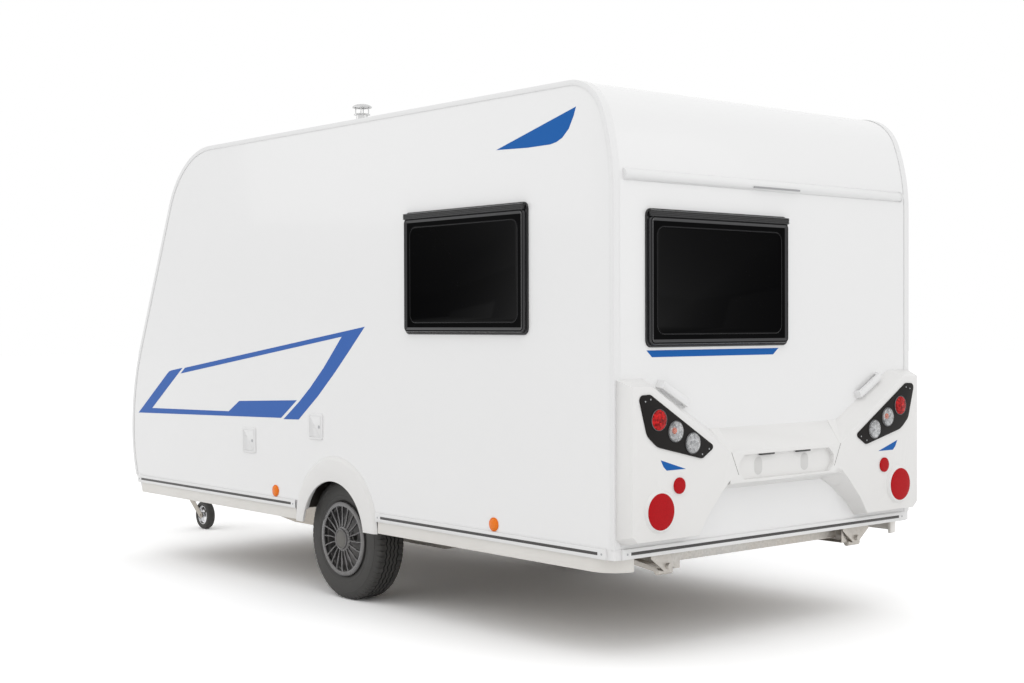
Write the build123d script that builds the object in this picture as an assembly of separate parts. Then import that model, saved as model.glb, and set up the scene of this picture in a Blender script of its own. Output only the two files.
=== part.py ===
from build123d import *
import math
import os

os.makedirs("parts", exist_ok=True)

# A touring caravan with one axle, standing unhitched on its two road wheels and its jockey wheel.
# Lengths are millimetres and angles are degrees. Stations run forward from the outer face of the
# rear wall, left is +Y and heights run up from the ground. Each finished piece is moved back by
# half the overall length, so the origin lies on the ground in the middle of the vehicle.

# Body shell
body_width = 2100.0
roof_height = 2539.0
wall_thick = 32.0
floor_thick = 44.0
floor_height = 462.0
skirt_height = 400.0
rear_wall_radius = 1000.0
rear_lean = 20.0
rear_top_radius = 230.0
front_top_radius = 560.0
nose_radius = 1275.0
nose_station = 4487.0
nose_height = 800.0
chin_radius = 850.0
rake = 24.6
rear_seam_height = 2116.0
front_seam_height = 2200.0
# The air left between curved faces that seat on each other, and between flat ones that are cut apart
seat_gap = 0.3
# How far a cutter runs past what it cuts
overrun = 60.0
half_width = body_width / 2
inner_half_width = half_width - wall_thick
floor_top = floor_height + floor_thick

# Edge rails along both sides of the shell
edge_rail_proud = 4.0
edge_rail_cover = 20.0
edge_rail_top_cover = 34.0

# Rear seam cover and the thin high brake lamp in it
seam_cover_inset = 60.0
seam_cover_tall = 50.0
seam_cover_proud = 18.0
high_lamp_width = 330.0
high_lamp_tall = 8.0
high_lamp_depth = 10.0
high_lamp_proud = 2.0

# Sill rails with their inserts, and skirts
sill_tall = 45.0
sill_proud = 12.0
sill_insert_tall = 13.0
sill_insert_inset = 45.0
sill_groove_depth = 5.0
sill_front_end = 4395.0
sill_rear_start = 48.0
rear_sill_inset = 45.0
skirt_thick = 15.0
skirt_corner_radius = 130.0
skirt_front_end = 4360.0

# Windows: frame, pane and the ribbed hinge strip over the pane
frame_border = 30.0
frame_proud = 9.0
frame_lap = 24.0
frame_corner = 34.0
pane_border = 11.0
pane_thick = 14.0
pane_bevel = 6.0
hinge_strip_tall = 24.0
hinge_strip_depth = 20.0
hinge_strip_inset = 16.0
hinge_strip_ribs = 4
rib_groove_tall = 2.4
rib_groove_depth = 3.0
side_window_tall = 606.0
side_window_height = 1727.0
left_window_station = 1021.0
left_window_width = 938.0
right_window_station = 1900.0
right_window_width = 800.0
rear_window_offset = 387.0
rear_window_width = 949.0
rear_window_base = 1370.5
rear_window_drop = 139.5
front_window_drop = 435.0
front_window_width = 1500.0
front_window_tall = 560.0
door_window_width = 330.0
door_window_tall = 560.0
door_window_height = 1690.0

# Road wheels
axle_station = 2145.0
wheel_inset = 150.0
tyre_radius = 325.0
tyre_width = 185.0
tyre_bead_radius = 178.3
tread_margin = 26.5
shoulder_drop = 7.0
shoulder_run = 13.0
sidewall_drop = 28.0
sidewall_inset = 5.0
belly_rise = 60.0
bead_rise = 18.0
bead_inset = 6.0
bead_seat = 1.5
bead_bulge = 5.0
rim_flange_radius = 190.0
rim_half_width = 66.0
rim_thick = 4.0
disc_root = 30.0
disc_crown = 34.0
disc_crown_radius = 130.0
disc_face = 20.0
disc_face_radius = 90.0
disc_thick = 6.0
disc_bore = 30.0
drum_radius = 112.0
drum_depth = 60.0
drum_shoulder = 8.0
drum_nose = 6.0
drum_nose_radius = 60.0
stub_radius = 18.0

# Wheel trims with their spokes and caps
trim_radius = 200.0
trim_ring_width = 26.0
trim_ring_thick = 8.0
trim_ring_depth = 18.0
trim_ease = 6.0
trim_lip = 4.0
trim_reach = 100.0
spoke_count = 20
spoke_depth = 8.0
spoke_root_half = 4.0
spoke_middle_half = 4.6
spoke_tip_half = 5.6
spoke_bow = 3.0
spoke_lap = 4.0
spoke_slope = 14.0
hub_cap_radius = 54.5
hub_cap_proud = 11.0
hub_cap_ease = 3.0
hub_ring_width = 8.0
hub_depth = 12.0

# Axle beam and trailing arms
beam_radius = 40.0
beam_forward = 170.0
beam_height = 345.0
arm_thick = 40.0

# Wheel boxes and arch mouldings
arch_station = 2130.0
box_half_length = 345.0
box_top = 690.0
box_corner = 150.0
box_thick = 6.0
box_inset = 286.0
arch_open_radius = 292.0
arch_open_height = 345.0
arch_outer_radius = 388.0
arch_outer_height = 385.0
arch_foot_height = 395.0
arch_proud = 14.0
arch_taper = 55.0
arch_sill_half_length = 381.0
arch_wall_radius = 320.0

# Chassis members, drawbars and cross members
member_web = 3.0
member_flange = 40.0
member_inset = 427.0
member_start = 60.0
member_end = 3420.0
member_shallow = 84.0
member_deep = 182.0
member_front_depth = 159.0
member_deep_rear = 420.0
member_deep_front = 1067.0
member_taper = 520.0
drawbar_width = 50.0
drawbar_tall = 80.0
drawbar_base = 375.0
drawbar_wall = 4.0
drawbar_notch = 5.0
drawbar_tip_station = 5330.0
drawbar_tip_offset = 62.0
cross_width = 40.0
cross_tall = 60.0
front_cross_station = 3060.0

# Overrun housing, brake lever and coupling
housing_start = 4990.0
housing_end = 5400.0
housing_width = 112.0
housing_tall = 84.0
lever_start = 4885.0
lever_length = 285.0
lever_tall = 101.0
lever_offset = 16.0
lever_thick = 10.0
lever_shares = ((0.86, 0.0), (1.0, 0.0), (0.825, 0.604), (0.018, 1.0), (0.0, 0.822), (0.737, 0.406))
gaiter_radius = 38.0
gaiter_length = 160.0
gaiter_folds = 8
gaiter_valley_share = 0.8
shaft_height = 497.0
head_width = 64.0
head_tall = 46.0
head_root = 40.0
socket_station = 5735.0
socket_radius = 37.0
ball_radius = 25.2
socket_base = 432.0
socket_depth = 38.0
socket_top = 506.0
handle_back = 175.0
handle_tall = 80.0
handle_half_width = 14.0
handle_shares = ((0.829, 0.0), (0.543, 0.0), (0.2, 0.5), (0.486, 1.0), (1.0, 0.875), (0.829, 0.5))

# Jockey wheel
jockey_station = 5300.0
jockey_offset = 150.0
jockey_trail = 130.0
jockey_wheel_radius = 100.0
jockey_wheel_width = 60.0
jockey_rim_radius = 66.0
jockey_rim_thick = 4.0
jockey_rim_inset = 2.0
jockey_hub_wall = 10.0
jockey_bead = 6.0
jockey_sidewall = 14.0
jockey_shoulder_drop = 4.0
jockey_tread_margin = 16.0
jockey_axle_radius = 8.0
jockey_axle_proud = 6.0
clamp_half_length = 34.0
clamp_wall = 12.0
clamp_margin = 10.0
mast_radius = 24.0
mast_wall = 2.5
mast_base = 375.0
mast_top = 770.0
crank_boss_radius = 8.0
crank_boss_tall = 30.0
crank_radius = 7.0
crank_height = 24.0
crank_reach = 150.0
crank_grip_radius = 12.0
crank_grip_tall = 86.0
inner_tube_radius = 21.2
inner_tube_top = 585.0
crown_height = 217.0
crown_thick = 12.0
crown_radius = 30.0
spigot_radius = 12.0
spigot_head = 6.0
spigot_head_radius = 19.0
fork_gap = 35.0
fork_thick = 4.0
fork_boss_wall = 14.0

# Corner steadies
steady_inset = 372.0
steady_plate_shoulder = 438.0
steady_plate_tip = 376.0
steady_plate_half_width = 103.0
steady_tip_half_width = 20.0
steady_plate_thick = 4.0
steady_rear_plate = 45.0
steady_front_plate = 4155.0
steady_reach = 455.0
steady_pivot_height = 430.0
steady_pin_radius = 6.0
steady_pin_proud = 6.0
steady_knuckle_radius = 16.0
steady_toe_radius = 10.0
steady_foot_height = 372.0
steady_foot_radius = 15.0
steady_foot_length = 90.0
steady_foot_setback = 25.0
steady_leg_half_width = 22.0
steady_leg_thick = 4.0
steady_frame_gap = 26.0
steady_frame_thick = 3.0
steady_ear_half_length = 30.0
steady_ear_drop = 20.0
steady_spindle_radius = 8.0
steady_spindle_height = 398.0
steady_spindle_short = 60.0
steady_nut_radius = 14.0
steady_nut_length = 18.0

# Entrance door, service door and gas locker
door_start = 2600.0
door_end = 3200.0
door_base = 512.0
door_top = 2250.0
door_corner = 40.0
door_gap = 7.0
door_hinge_heights = (800.0, 1400.0, 2000.0)
grip_setback = 30.0
grip_width = 40.0
grip_depth = 34.0
grip_wall = 12.0
grip_base = 1180.0
grip_top = 1330.0
grip_post = 25.0
hinge_radius = 7.0
hinge_stand_off = 9.0
hinge_length = 60.0
hinge_leaf = 44.0
hinge_leaf_gap = 1.0
hinge_thick = 3.0
hinge_root = 5.0
hinge_middle_share = 0.34
service_door_start = 180.0
service_door_end = 520.0
service_door_base = 600.0
service_door_top = 915.0
locker_base = 620.0
locker_top = 1120.0
locker_half_width = 660.0
locker_corner = 45.0
locker_wall = 15.0
locker_bulkhead = 4020.0
locker_shelf = 1190.0
lid_hinge_places = (-450.0, 0.0, 450.0)

# Rear lamp moulding: the wings' outlines at the wall and at the face, as shares of the moulding's
# half width and of its height, as (side offset, height)
moulding_depth = 80.0
moulding_skin = 5.0
moulding_inset = 5.0
moulding_base = 525.0
moulding_top = 1235.0
moulding_ease = 6.0
wing_root_shares = (
    (1.0, 0.0366), (1.0, 1.0), (0.8354, 1.0), (0.4191, 0.6549), (0.3148, 0.3169),
    (0.3206, 0.2775), (0.4105, 0.207), (0.5081, 0.0986), (0.5742, 0.0), (0.9665, 0.0),
)
wing_face_shares = (
    (0.9761, 0.0577), (0.9761, 0.9577), (0.8612, 0.9577), (0.3761, 0.5183), (0.3301, 0.3732),
    (0.3761, 0.3535), (0.4411, 0.2648), (0.5215, 0.1408), (0.5789, 0.0183), (0.9426, 0.0183),
)
beam_half_share = 0.3828
beam_root_top = 1000.0
beam_face_top = 893.0
beam_face_base = 752.0
beam_root_base = 720.0
plate_recess_half_share = 0.3254
plate_recess_base = 765.0
plate_recess_top = 878.0
plate_recess_depth = 22.0
plate_recess_corner = 35.0

# Lamp panels, lamps and reflectors, placed as shares of the moulding's half width and height
lamp_panel_thick = 6.0
lamp_panel_corner = 20.0
lamp_panel_shares = (
    (0.9282, 0.9056), (0.866, 0.9099), (0.4861, 0.5662), (0.5646, 0.4972), (0.8287, 0.5887), (0.8823, 0.6606),
)
lamp_radius = 49.0
lamp_proud = 10.0
lamp_shares = ((0.822, 0.7535), (0.7225, 0.6775), (0.6196, 0.5986))
reflector_radius = 80.0
reflector_shares = (0.8163, 0.1972)
reflector_pad_radius = 96.0
reflector_pad_tip_radius = 86.0
reflector_pad_proud = 12.0
small_reflector_radius = 36.0
small_reflector_shares = (0.6957, 0.3437)

# Grab handles, side markers, service flaps and fridge vents
grab_low = (606.5, 1114.0)
grab_high = (790.5, 1214.0)
grab_proud = 32.0
grab_width = 34.0
grab_end_slope = 12.0
grab_foot = 22.0
grab_bar = 14.0
grab_inner_slope = 6.0
marker_stations = (804.0, 2730.0)
marker_height = 540.0
marker_radius = 32.5
marker_proud = 12.0
# Service flaps on the left wall, as (station, height)
flap_places = ((3030.0, 810.0), (2320.0, 925.0))
flap_width = 115.0
flap_tall = 158.0
flap_proud = 12.0
# Fridge vents on the right wall, as (station, height)
vent_places = ((1080.0, 790.0), (1080.0, 1290.0))
vent_width = 440.0
vent_tall = 230.0
vent_proud = 12.0

# Flue cowl and rooflights
cowl_station = 2300.0
cowl_offset = 750.0
cowl_tube_radius = 32.5
cowl_tube_tall = 90.0
cowl_plate_radius = 45.0
cowl_plate_thick = 6.0
cowl_post_radius = 4.0
cowl_post_circle = 35.0
cowl_post_count = 3
cowl_post_turn = 30.0
cowl_post_lap = 2.0
cowl_cap_radius = 55.0
cowl_cap_base = 130.0
cowl_cap_thick = 21.0
rooflight_stations = (1250.0, 2750.0)
rooflight_width = 480.0
rooflight_corner = 60.0
curb_tall = 35.0
dome_inset = 20.0
dome_tall = 50.0
dome_ease = 22.0
dome_skin = 10.0
dome_roof_thick = 25.0

# Places that follow from the sizes above
tyre_centre = half_width - wheel_inset
trim_face = tyre_centre + trim_reach
hub_cap_face = trim_face + hub_cap_proud
hub_height = tyre_radius
box_inner_face = half_width - box_inset
member_offset = half_width - member_inset
drawbar_root_offset = member_offset - drawbar_width / 2
steady_offset = half_width - steady_inset
seam_cover_width = body_width - 2 * seam_cover_inset
rear_sill_half_width = half_width - rear_sill_inset
moulding_half_width = half_width - moulding_inset
moulding_tall = moulding_top - moulding_base


# Shared construction helpers
def block(stations, offsets, heights):
    # A box between two stations, two side offsets and two heights
    size = [high - low for low, high in (stations, offsets, heights)]
    middle = [(high + low) / 2 for low, high in (stations, offsets, heights)]
    return Pos(*middle) * Box(*size)


def plate_along_y(face, low, high):
    # A flat outline of stations and heights, made solid between two side offsets
    return extrude(Plane.XZ.offset(-high) * face, high - low)


def plate_along_x(face, low, high):
    # A flat outline of side offsets and heights, made solid between two stations
    return extrude(Plane.YZ.offset(low) * face, high - low)


def plate_along_z(face, low, high):
    # A flat outline of stations and side offsets, made solid between two heights
    return extrude(Plane.XY.offset(low) * face, high - low)


def polygon(*points):
    return make_face(Polyline(*points, close=True))


def mirrored(piece):
    return mirror(piece, about=Plane.XZ)


def both_ways(half):
    # A section whose (radius, side offset) points are given on one side of its middle only
    return half + [(radius, -side) for radius, side in reversed(half)]


def rod(start, end, radius):
    # A round bar from one point to another
    start, end = Vector(*start), Vector(*end)
    line = Plane(origin=start, z_dir=end - start)
    return extrude(line * Circle(radius), (end - start).length)


def post(station, side, low, high, radius):
    # An upright round bar
    return rod((station, side, low), (station, side, high), radius)


def wall_plane(origin, normal):
    # A plane on a wall: its own y points up the wall and its z points out of it
    normal = Vector(*normal)
    return Plane(origin=origin, x_dir=Vector(0, 0, 1).cross(normal), z_dir=normal)


def ring_about_y(points, station, centre, height):
    # Turns a section of (radius, side offset from the centre plane) about a level cross axis
    turned = revolve(Plane.XY * polygon(*points), Axis.Y, 360)
    return Pos(station, centre, height) * turned


# Side outline of the shell
def outline_centres():
    # Centres of the outline's five arcs, each as (station, height)
    lean = math.radians(180 - rear_lean)
    wall = (rear_wall_radius, roof_height - rear_top_radius
            - (rear_wall_radius - rear_top_radius) * math.sin(lean))
    top = (wall[0] + (rear_wall_radius - rear_top_radius) * math.cos(lean),
           roof_height - rear_top_radius)
    nose = (nose_station - nose_radius, nose_height)
    chin = (nose_station - chin_radius, nose_height)
    slope = math.radians(rake)
    front_height = roof_height - front_top_radius
    rise = (front_height - nose_height) * math.sin(slope)
    front = (nose[0] + (nose_radius - front_top_radius - rise) / math.cos(slope), front_height)
    return wall, top, front, nose, chin


def shell_outline(inset, base):
    # The side outline, moved in by inset and closed by a level line at base
    wall, top, front, nose, chin = outline_centres()
    chin_sweep = math.degrees(math.asin((nose_height - base) / (chin_radius - inset)))
    rear_arc = CenterArc(wall, rear_wall_radius - inset, 180 - rear_lean, rear_lean)
    rear_top = CenterArc(top, rear_top_radius - inset, 90, 90 - rear_lean)
    front_top = CenterArc(front, front_top_radius - inset, rake, 90 - rake)
    nose_arc = CenterArc(nose, nose_radius - inset, 0, rake)
    chin_arc = CenterArc(chin, chin_radius - inset, -chin_sweep, chin_sweep)
    rear_foot = (inset, base)
    edges = [
        Line(rear_foot, rear_arc @ 1),
        rear_arc,
        rear_top,
        Line(rear_top @ 0, front_top @ 1),
        front_top,
        Line(front_top @ 0, nose_arc @ 1),
        nose_arc,
        chin_arc,
        Line(chin_arc @ 0, rear_foot),
    ]
    return make_face(edges)


def shell_band(base):
    # The wall, roof and front skins as one band between the side walls
    return shell_outline(0, base) - shell_outline(wall_thick, base - overrun)


def rake_point(height):
    # The station of the raked front face at a height
    nose = outline_centres()[3]
    slope = math.radians(rake)
    start_station = nose[0] + nose_radius * math.cos(slope)
    start_height = nose[1] + nose_radius * math.sin(slope)
    return start_station - (height - start_height) * math.tan(slope)


# Windows as name: (wall normal, middle, width, height)
rear_window_top = rear_seam_height - rear_window_drop
rear_window_tall = rear_window_top - rear_window_base
rear_window_height = (rear_window_top + rear_window_base) / 2
front_window_height = front_seam_height - front_window_drop
front_normal = (math.cos(math.radians(rake)), 0, math.sin(math.radians(rake)))
windows = {
    "left": ((0, 1, 0), (left_window_station, half_width, side_window_height),
             left_window_width, side_window_tall),
    "right": ((0, -1, 0), (right_window_station, -half_width, side_window_height),
              right_window_width, side_window_tall),
    "rear": ((-1, 0, 0), (0, rear_window_offset, rear_window_height), rear_window_width, rear_window_tall),
    "front": (front_normal, (rake_point(front_window_height), 0, front_window_height),
              front_window_width, front_window_tall),
}
door_middle = (door_start + door_end) / 2
door_window = ((0, -1, 0), (door_middle, -half_width, door_window_height), door_window_width, door_window_tall)


def window_hole(normal, middle, width, tall):
    plane = wall_plane(middle, normal)
    cut = RectangleRounded(width - 2 * frame_lap, tall - 2 * frame_lap, frame_corner - frame_lap)
    return extrude(plane.offset(-wall_thick - overrun) * cut, wall_thick + 2 * overrun)


def window_frame(normal, middle, width, tall):
    # A rim on the wall with a liner through its thickness, and a ribbed hinge strip along the top
    plane = wall_plane(middle, normal)
    outer = RectangleRounded(width, tall, frame_corner)
    inner = RectangleRounded(width - 2 * frame_border, tall - 2 * frame_border, frame_corner - frame_border)
    liner = RectangleRounded(width - 2 * frame_lap - seat_gap, tall - 2 * frame_lap - seat_gap,
                             frame_corner - frame_lap)
    opening = extrude(plane.offset(-overrun) * inner, 2 * overrun)
    rim = extrude(plane * outer, frame_proud)
    sleeve = extrude(plane.offset(-wall_thick) * liner, wall_thick + frame_proud / 2)
    strip_length = width - 2 * hinge_strip_inset
    strip_middle = (tall - hinge_strip_tall) / 2
    strip_face = frame_proud + hinge_strip_depth
    strip = extrude(plane * Pos(0, strip_middle) * Rectangle(strip_length, hinge_strip_tall), strip_face)
    pitch = hinge_strip_tall / hinge_strip_ribs
    for index in range(1, hinge_strip_ribs):
        line = Pos(0, strip_middle - hinge_strip_tall / 2 + index * pitch)
        groove = line * Rectangle(strip_length, rib_groove_tall)
        strip -= extrude(plane.offset(strip_face - rib_groove_depth) * groove, rib_groove_depth)
    return rim + sleeve - opening + strip


def plane_axis(plane):
    return Axis(origin=plane.origin, direction=plane.z_dir)


def window_pane(normal, middle, width, tall):
    # A rounded pane on the rim, below the hinge strip
    plane = wall_plane(middle, normal)
    pane_tall = tall - hinge_strip_tall - seat_gap - pane_border
    drop = (hinge_strip_tall + seat_gap - pane_border) / 2
    outline = Pos(0, -drop) * RectangleRounded(width - 2 * pane_border, pane_tall, frame_corner - pane_border)
    pane = extrude(plane.offset(frame_proud) * outline, pane_thick)
    face = pane.faces().sort_by(plane_axis(plane))[-1]
    return chamfer(face.edges(), pane_bevel)


def side_wall(side):
    # One side wall with its wheel arch cut; side is 1 on the left and -1 on the right
    low, high = sorted((side * inner_half_width, side * half_width))
    wall = plate_along_y(shell_outline(0, floor_height), low, high)
    arch = rod((axle_station, low - overrun, arch_open_height),
               (axle_station, high + overrun, arch_open_height), arch_wall_radius)
    return wall - arch


def doorway(gap):
    # The entrance door's outline in stations and heights, grown by gap
    width = door_end - door_start + 2 * gap
    tall = door_top - door_base + 2 * gap
    return Pos(door_middle, (door_top + door_base) / 2) * RectangleRounded(width, tall, door_corner + gap)


def service_doorway(gap):
    width = service_door_end - service_door_start + 2 * gap
    tall = service_door_top - service_door_base + 2 * gap
    middle = Pos((service_door_start + service_door_end) / 2, (service_door_top + service_door_base) / 2)
    return middle * RectangleRounded(width, tall, door_corner + gap)


def locker_mouth(gap):
    width = 2 * (locker_half_width + gap)
    tall = locker_top - locker_base + 2 * gap
    return Pos(0, (locker_top + locker_base) / 2) * RectangleRounded(width, tall, locker_corner + gap)


def hinge(place, length):
    # A strap hinge about the z of its place, whose y points out of the wall: the moving half
    # reaches back along x, and the fixed half has the two outer knuckles and runs forward
    middle = hinge_middle_share * length / 2
    moving = extrude(Plane.XY.offset(-middle) * Circle(hinge_radius), 2 * middle)
    moving += block((-hinge_leaf, 0), (-hinge_stand_off - hinge_root, 0), (-middle, middle))
    fixed = block((hinge_radius + hinge_leaf_gap, hinge_leaf),
                  (-hinge_stand_off, -hinge_stand_off + hinge_thick), (-length / 2, length / 2))
    for side in (1, -1):
        heights = sorted((side * (middle + seat_gap), side * length / 2))
        fixed += extrude(Plane.XY.offset(heights[0]) * Circle(hinge_radius), heights[1] - heights[0])
        fixed += block((0, hinge_radius + hinge_thick), (-hinge_stand_off, 0), heights)
    return place * moving, place * fixed


pieces = {}


# Walls, roof, front and floor
wall_left = side_wall(1) - window_hole(*windows["left"])
wall_right = side_wall(-1) - window_hole(*windows["right"])
wall_right -= plate_along_y(doorway(door_gap), -half_width - overrun, -inner_half_width + overrun)
wall_right -= plate_along_y(service_doorway(door_gap), -half_width - overrun, -inner_half_width + overrun)

band = plate_along_y(shell_band(floor_height), -inner_half_width, inner_half_width)
middle_station = nose_station / 2
rear_part = block((-overrun, middle_station), (-body_width, body_width), (-overrun, rear_seam_height))
front_part = block((middle_station, nose_station + overrun), (-body_width, body_width),
                   (-overrun, front_seam_height))
wall_rear = (band & rear_part) - window_hole(*windows["rear"])
roof_panel = band - rear_part - front_part
apron = plate_along_y(shell_band(skirt_height), -half_width + skirt_thick, half_width - skirt_thick)
apron &= block((middle_station, nose_station + overrun), (-body_width, body_width),
               (skirt_height, floor_height))
front_panel = (band & front_part) + apron - window_hole(*windows["front"])
front_panel -= plate_along_x(locker_mouth(door_gap), middle_station, nose_station + overrun)

floor_outline = shell_outline(wall_thick + seat_gap, floor_height - overrun)
floor_panel = plate_along_y(floor_outline, -inner_half_width, inner_half_width)
floor_panel &= block((-overrun, nose_station + overrun), (-body_width, body_width),
                     (floor_height, floor_top))
for side in (1, -1):
    well = sorted((side * box_inner_face, side * body_width))
    floor_panel -= block((axle_station - box_half_length, axle_station + box_half_length), well,
                         (0, roof_height))

pieces["floor_panel"] = [floor_panel]
pieces["wall_left"] = [wall_left]
pieces["wall_right"] = [wall_right]
pieces["wall_rear"] = [wall_rear]
pieces["roof_panel"] = [roof_panel]


# Edge rails: a side leg on the wall and a top leg on the roof, bent along the whole outline
rail_base = floor_height + sill_tall
rail_outline = shell_outline(-edge_rail_proud, rail_base)
side_leg = plate_along_y(rail_outline - shell_outline(edge_rail_cover, rail_base),
                         half_width, half_width + edge_rail_proud)
top_leg = plate_along_y(rail_outline - shell_outline(-seat_gap, rail_base),
                        half_width - edge_rail_top_cover, half_width)
edge_rail = side_leg + top_leg
pieces["edge_rails"] = [edge_rail, mirrored(edge_rail)]


# Rear seam cover with the high brake lamp let into it
seam_half = seam_cover_tall / 2
cover_low = rear_seam_height - seam_half
cover_high = rear_seam_height + seam_half
cover_face = make_face([
    Line((overrun, cover_low), (0, cover_low)),
    ThreePointArc((0, cover_low), (-seam_cover_proud, rear_seam_height), (0, cover_high)),
    Line((0, cover_high), (overrun, cover_high)),
    Line((overrun, cover_high), (overrun, cover_low)),
])
seam_cover = plate_along_y(cover_face, -seam_cover_width / 2, seam_cover_width / 2)
seam_cover -= plate_along_y(shell_outline(-seat_gap, floor_height), -body_width, body_width)
high_lamp_height = rear_seam_height - seam_half / 2
high_lamp = block((-seam_cover_proud - high_lamp_proud, -seam_cover_proud + high_lamp_depth / 2),
                  (-high_lamp_width / 2, high_lamp_width / 2),
                  (high_lamp_height - high_lamp_tall / 2, high_lamp_height + high_lamp_tall / 2))
pieces["rear_seam_cover"] = [seam_cover - high_lamp]


# Window frames and panes, the entrance door's own window among the door's pieces
pieces["window_frames"] = [window_frame(*window) for window in windows.values()]
pieces["window_panes"] = [window_pane(*window) for window in windows.values()]


# Sill rails, each with a groove that holds a dark insert
insert_heights = (floor_height + (sill_tall - sill_insert_tall) / 2,
                  floor_height + (sill_tall + sill_insert_tall) / 2)


def sill(low, high, side):
    offsets = sorted((side * half_width, side * (half_width + sill_proud)))
    rail = block((low, high), offsets, (floor_height, floor_height + sill_tall))
    groove_offsets = sorted((side * (half_width + sill_proud - sill_groove_depth),
                             side * (half_width + sill_proud)))
    insert = block((low + sill_insert_inset, high - sill_insert_inset), groove_offsets, insert_heights)
    return rail - insert, insert


sill_rear_end = arch_station - arch_sill_half_length
sill_front_start = arch_station + arch_sill_half_length
sill_runs = ((sill_rear_start, sill_rear_end, 1), (sill_front_start, sill_front_end, 1),
             (sill_rear_start, sill_rear_end, -1), (sill_front_start, sill_front_end, -1))
sills = [sill(*run) for run in sill_runs]
rear_sill = block((-sill_proud, 0), (-rear_sill_half_width, rear_sill_half_width),
                  (floor_height, floor_height + sill_tall))
rear_insert_half = rear_sill_half_width - sill_insert_inset
rear_insert = block((-sill_proud, -sill_proud + sill_groove_depth), (-rear_insert_half, rear_insert_half),
                    insert_heights)
pieces["sill_rails"] = [rail for rail, insert in sills] + [rear_sill - rear_insert]
pieces["sill_inserts"] = [insert for rail, insert in sills] + [rear_insert]


# Skirts below the sills, the rear ones curled in round the rear corners
def skirt_pair(side):
    offsets = sorted((side * (half_width - skirt_thick), side * half_width))
    front = block((arch_station + arch_outer_radius, skirt_front_end), offsets, (skirt_height, floor_height))
    corner_station = skirt_corner_radius + sill_proud
    centre = half_width - skirt_corner_radius
    rear = block((corner_station, arch_station - arch_outer_radius), offsets, (skirt_height, floor_height))
    curl = Pos(corner_station, side * centre) * (Circle(skirt_corner_radius)
                                                 - Circle(skirt_corner_radius - skirt_thick))
    curl &= Pos(corner_station - skirt_corner_radius, side * (centre + skirt_corner_radius)) * Rectangle(
        2 * skirt_corner_radius, 2 * skirt_corner_radius)
    return front, rear + plate_along_z(curl, skirt_height, floor_height)


pieces["skirts"] = [*skirt_pair(1), *skirt_pair(-1)]


# Wheel boxes inside the body and arch mouldings outside it
def box_outline(inset):
    width = 2 * (box_half_length - inset)
    low = floor_height - box_corner
    tall = box_top - inset - low
    shape = Pos(axle_station, low + tall / 2) * RectangleRounded(width, tall, box_corner - inset)
    keep = Pos(axle_station, floor_height + box_top) * Rectangle(2 * width, 2 * box_top)
    return shape & keep


wheel_box = plate_along_y(box_outline(0), box_inner_face, inner_half_width)
wheel_box -= plate_along_y(box_outline(box_thick), box_inner_face + box_thick, inner_half_width + overrun)
pieces["wheel_boxes"] = [wheel_box, mirrored(wheel_box)]

arch_plane = wall_plane((arch_station, half_width, arch_outer_height), (0, 1, 0))
arch_moulding = extrude(arch_plane * Circle(arch_outer_radius), arch_proud, taper=arch_taper)
arch_moulding -= rod((axle_station, half_width - overrun, arch_open_height),
                     (axle_station, half_width + overrun, arch_open_height), arch_open_radius)
arch_moulding -= block((0, nose_station), (0, body_width), (-body_width, arch_foot_height))
pieces["arch_mouldings"] = [arch_moulding, mirrored(arch_moulding)]


# Chassis members, deep from the axle forward, with a flange all round a thin web
def member_face(inset):
    low_shallow = floor_height - member_shallow + inset
    low_deep = floor_height - member_deep + inset
    return polygon(
        (member_start + inset, floor_height - inset),
        (member_start + inset, low_shallow),
        (axle_station - member_deep_rear - member_taper, low_shallow),
        (axle_station - member_deep_rear, low_deep),
        (axle_station + member_deep_front, low_deep),
        (member_end - inset, floor_height - member_front_depth + inset),
        (member_end - inset, floor_height - inset),
    )


beam_station = axle_station + beam_forward
member = plate_along_y(member_face(0) - member_face(member_web), member_offset - member_flange, member_offset)
member += plate_along_y(member_face(0), member_offset - member_web, member_offset)
member -= rod((beam_station, 0, beam_height), (beam_station, half_width, beam_height), beam_radius + seat_gap)
pieces["chassis_members"] = [member, mirrored(member)]

drawbar_slope = (drawbar_root_offset - drawbar_tip_offset) / (drawbar_tip_station - member_end)
drawbar_half = drawbar_width / 2 * math.hypot(1, drawbar_slope)
drawbar_inner_half = (drawbar_width / 2 - drawbar_wall) * math.hypot(1, drawbar_slope)


def drawbar_face(half):
    return polygon(
        (member_end, drawbar_root_offset - half), (member_end, drawbar_root_offset + half),
        (drawbar_tip_station, drawbar_tip_offset + half), (drawbar_tip_station, drawbar_tip_offset - half),
    )


drawbar_top = drawbar_base + drawbar_tall
drawbar_solid = plate_along_z(drawbar_face(drawbar_half), drawbar_base, drawbar_top)
drawbar = drawbar_solid - plate_along_z(drawbar_face(drawbar_inner_half), drawbar_base + drawbar_wall,
                                        drawbar_top - drawbar_wall)
pieces["drawbars"] = [drawbar, mirrored(drawbar)]
notch = plate_along_z(drawbar_face(drawbar_half + drawbar_notch), 0, drawbar_top + drawbar_notch)
pieces["front_panel"] = [front_panel - notch - mirrored(notch)]

cross_half = member_offset - member_flange
cross_members = []
for station in (member_start + cross_width, front_cross_station):
    tube = block((station, station + cross_width), (-cross_half, cross_half),
                 (floor_height - cross_tall, floor_height))
    cross_members.append(tube)
pieces["cross_members"] = cross_members


# Axle beam, trailing arms, stub axles and brake back plates
arm_inner = member_offset + arm_thick
arm_outer = arm_inner + arm_thick
axle_beam = rod((beam_station, -arm_inner, beam_height), (beam_station, arm_inner, beam_height), beam_radius)
pieces["axle_beam"] = [axle_beam]


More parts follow.
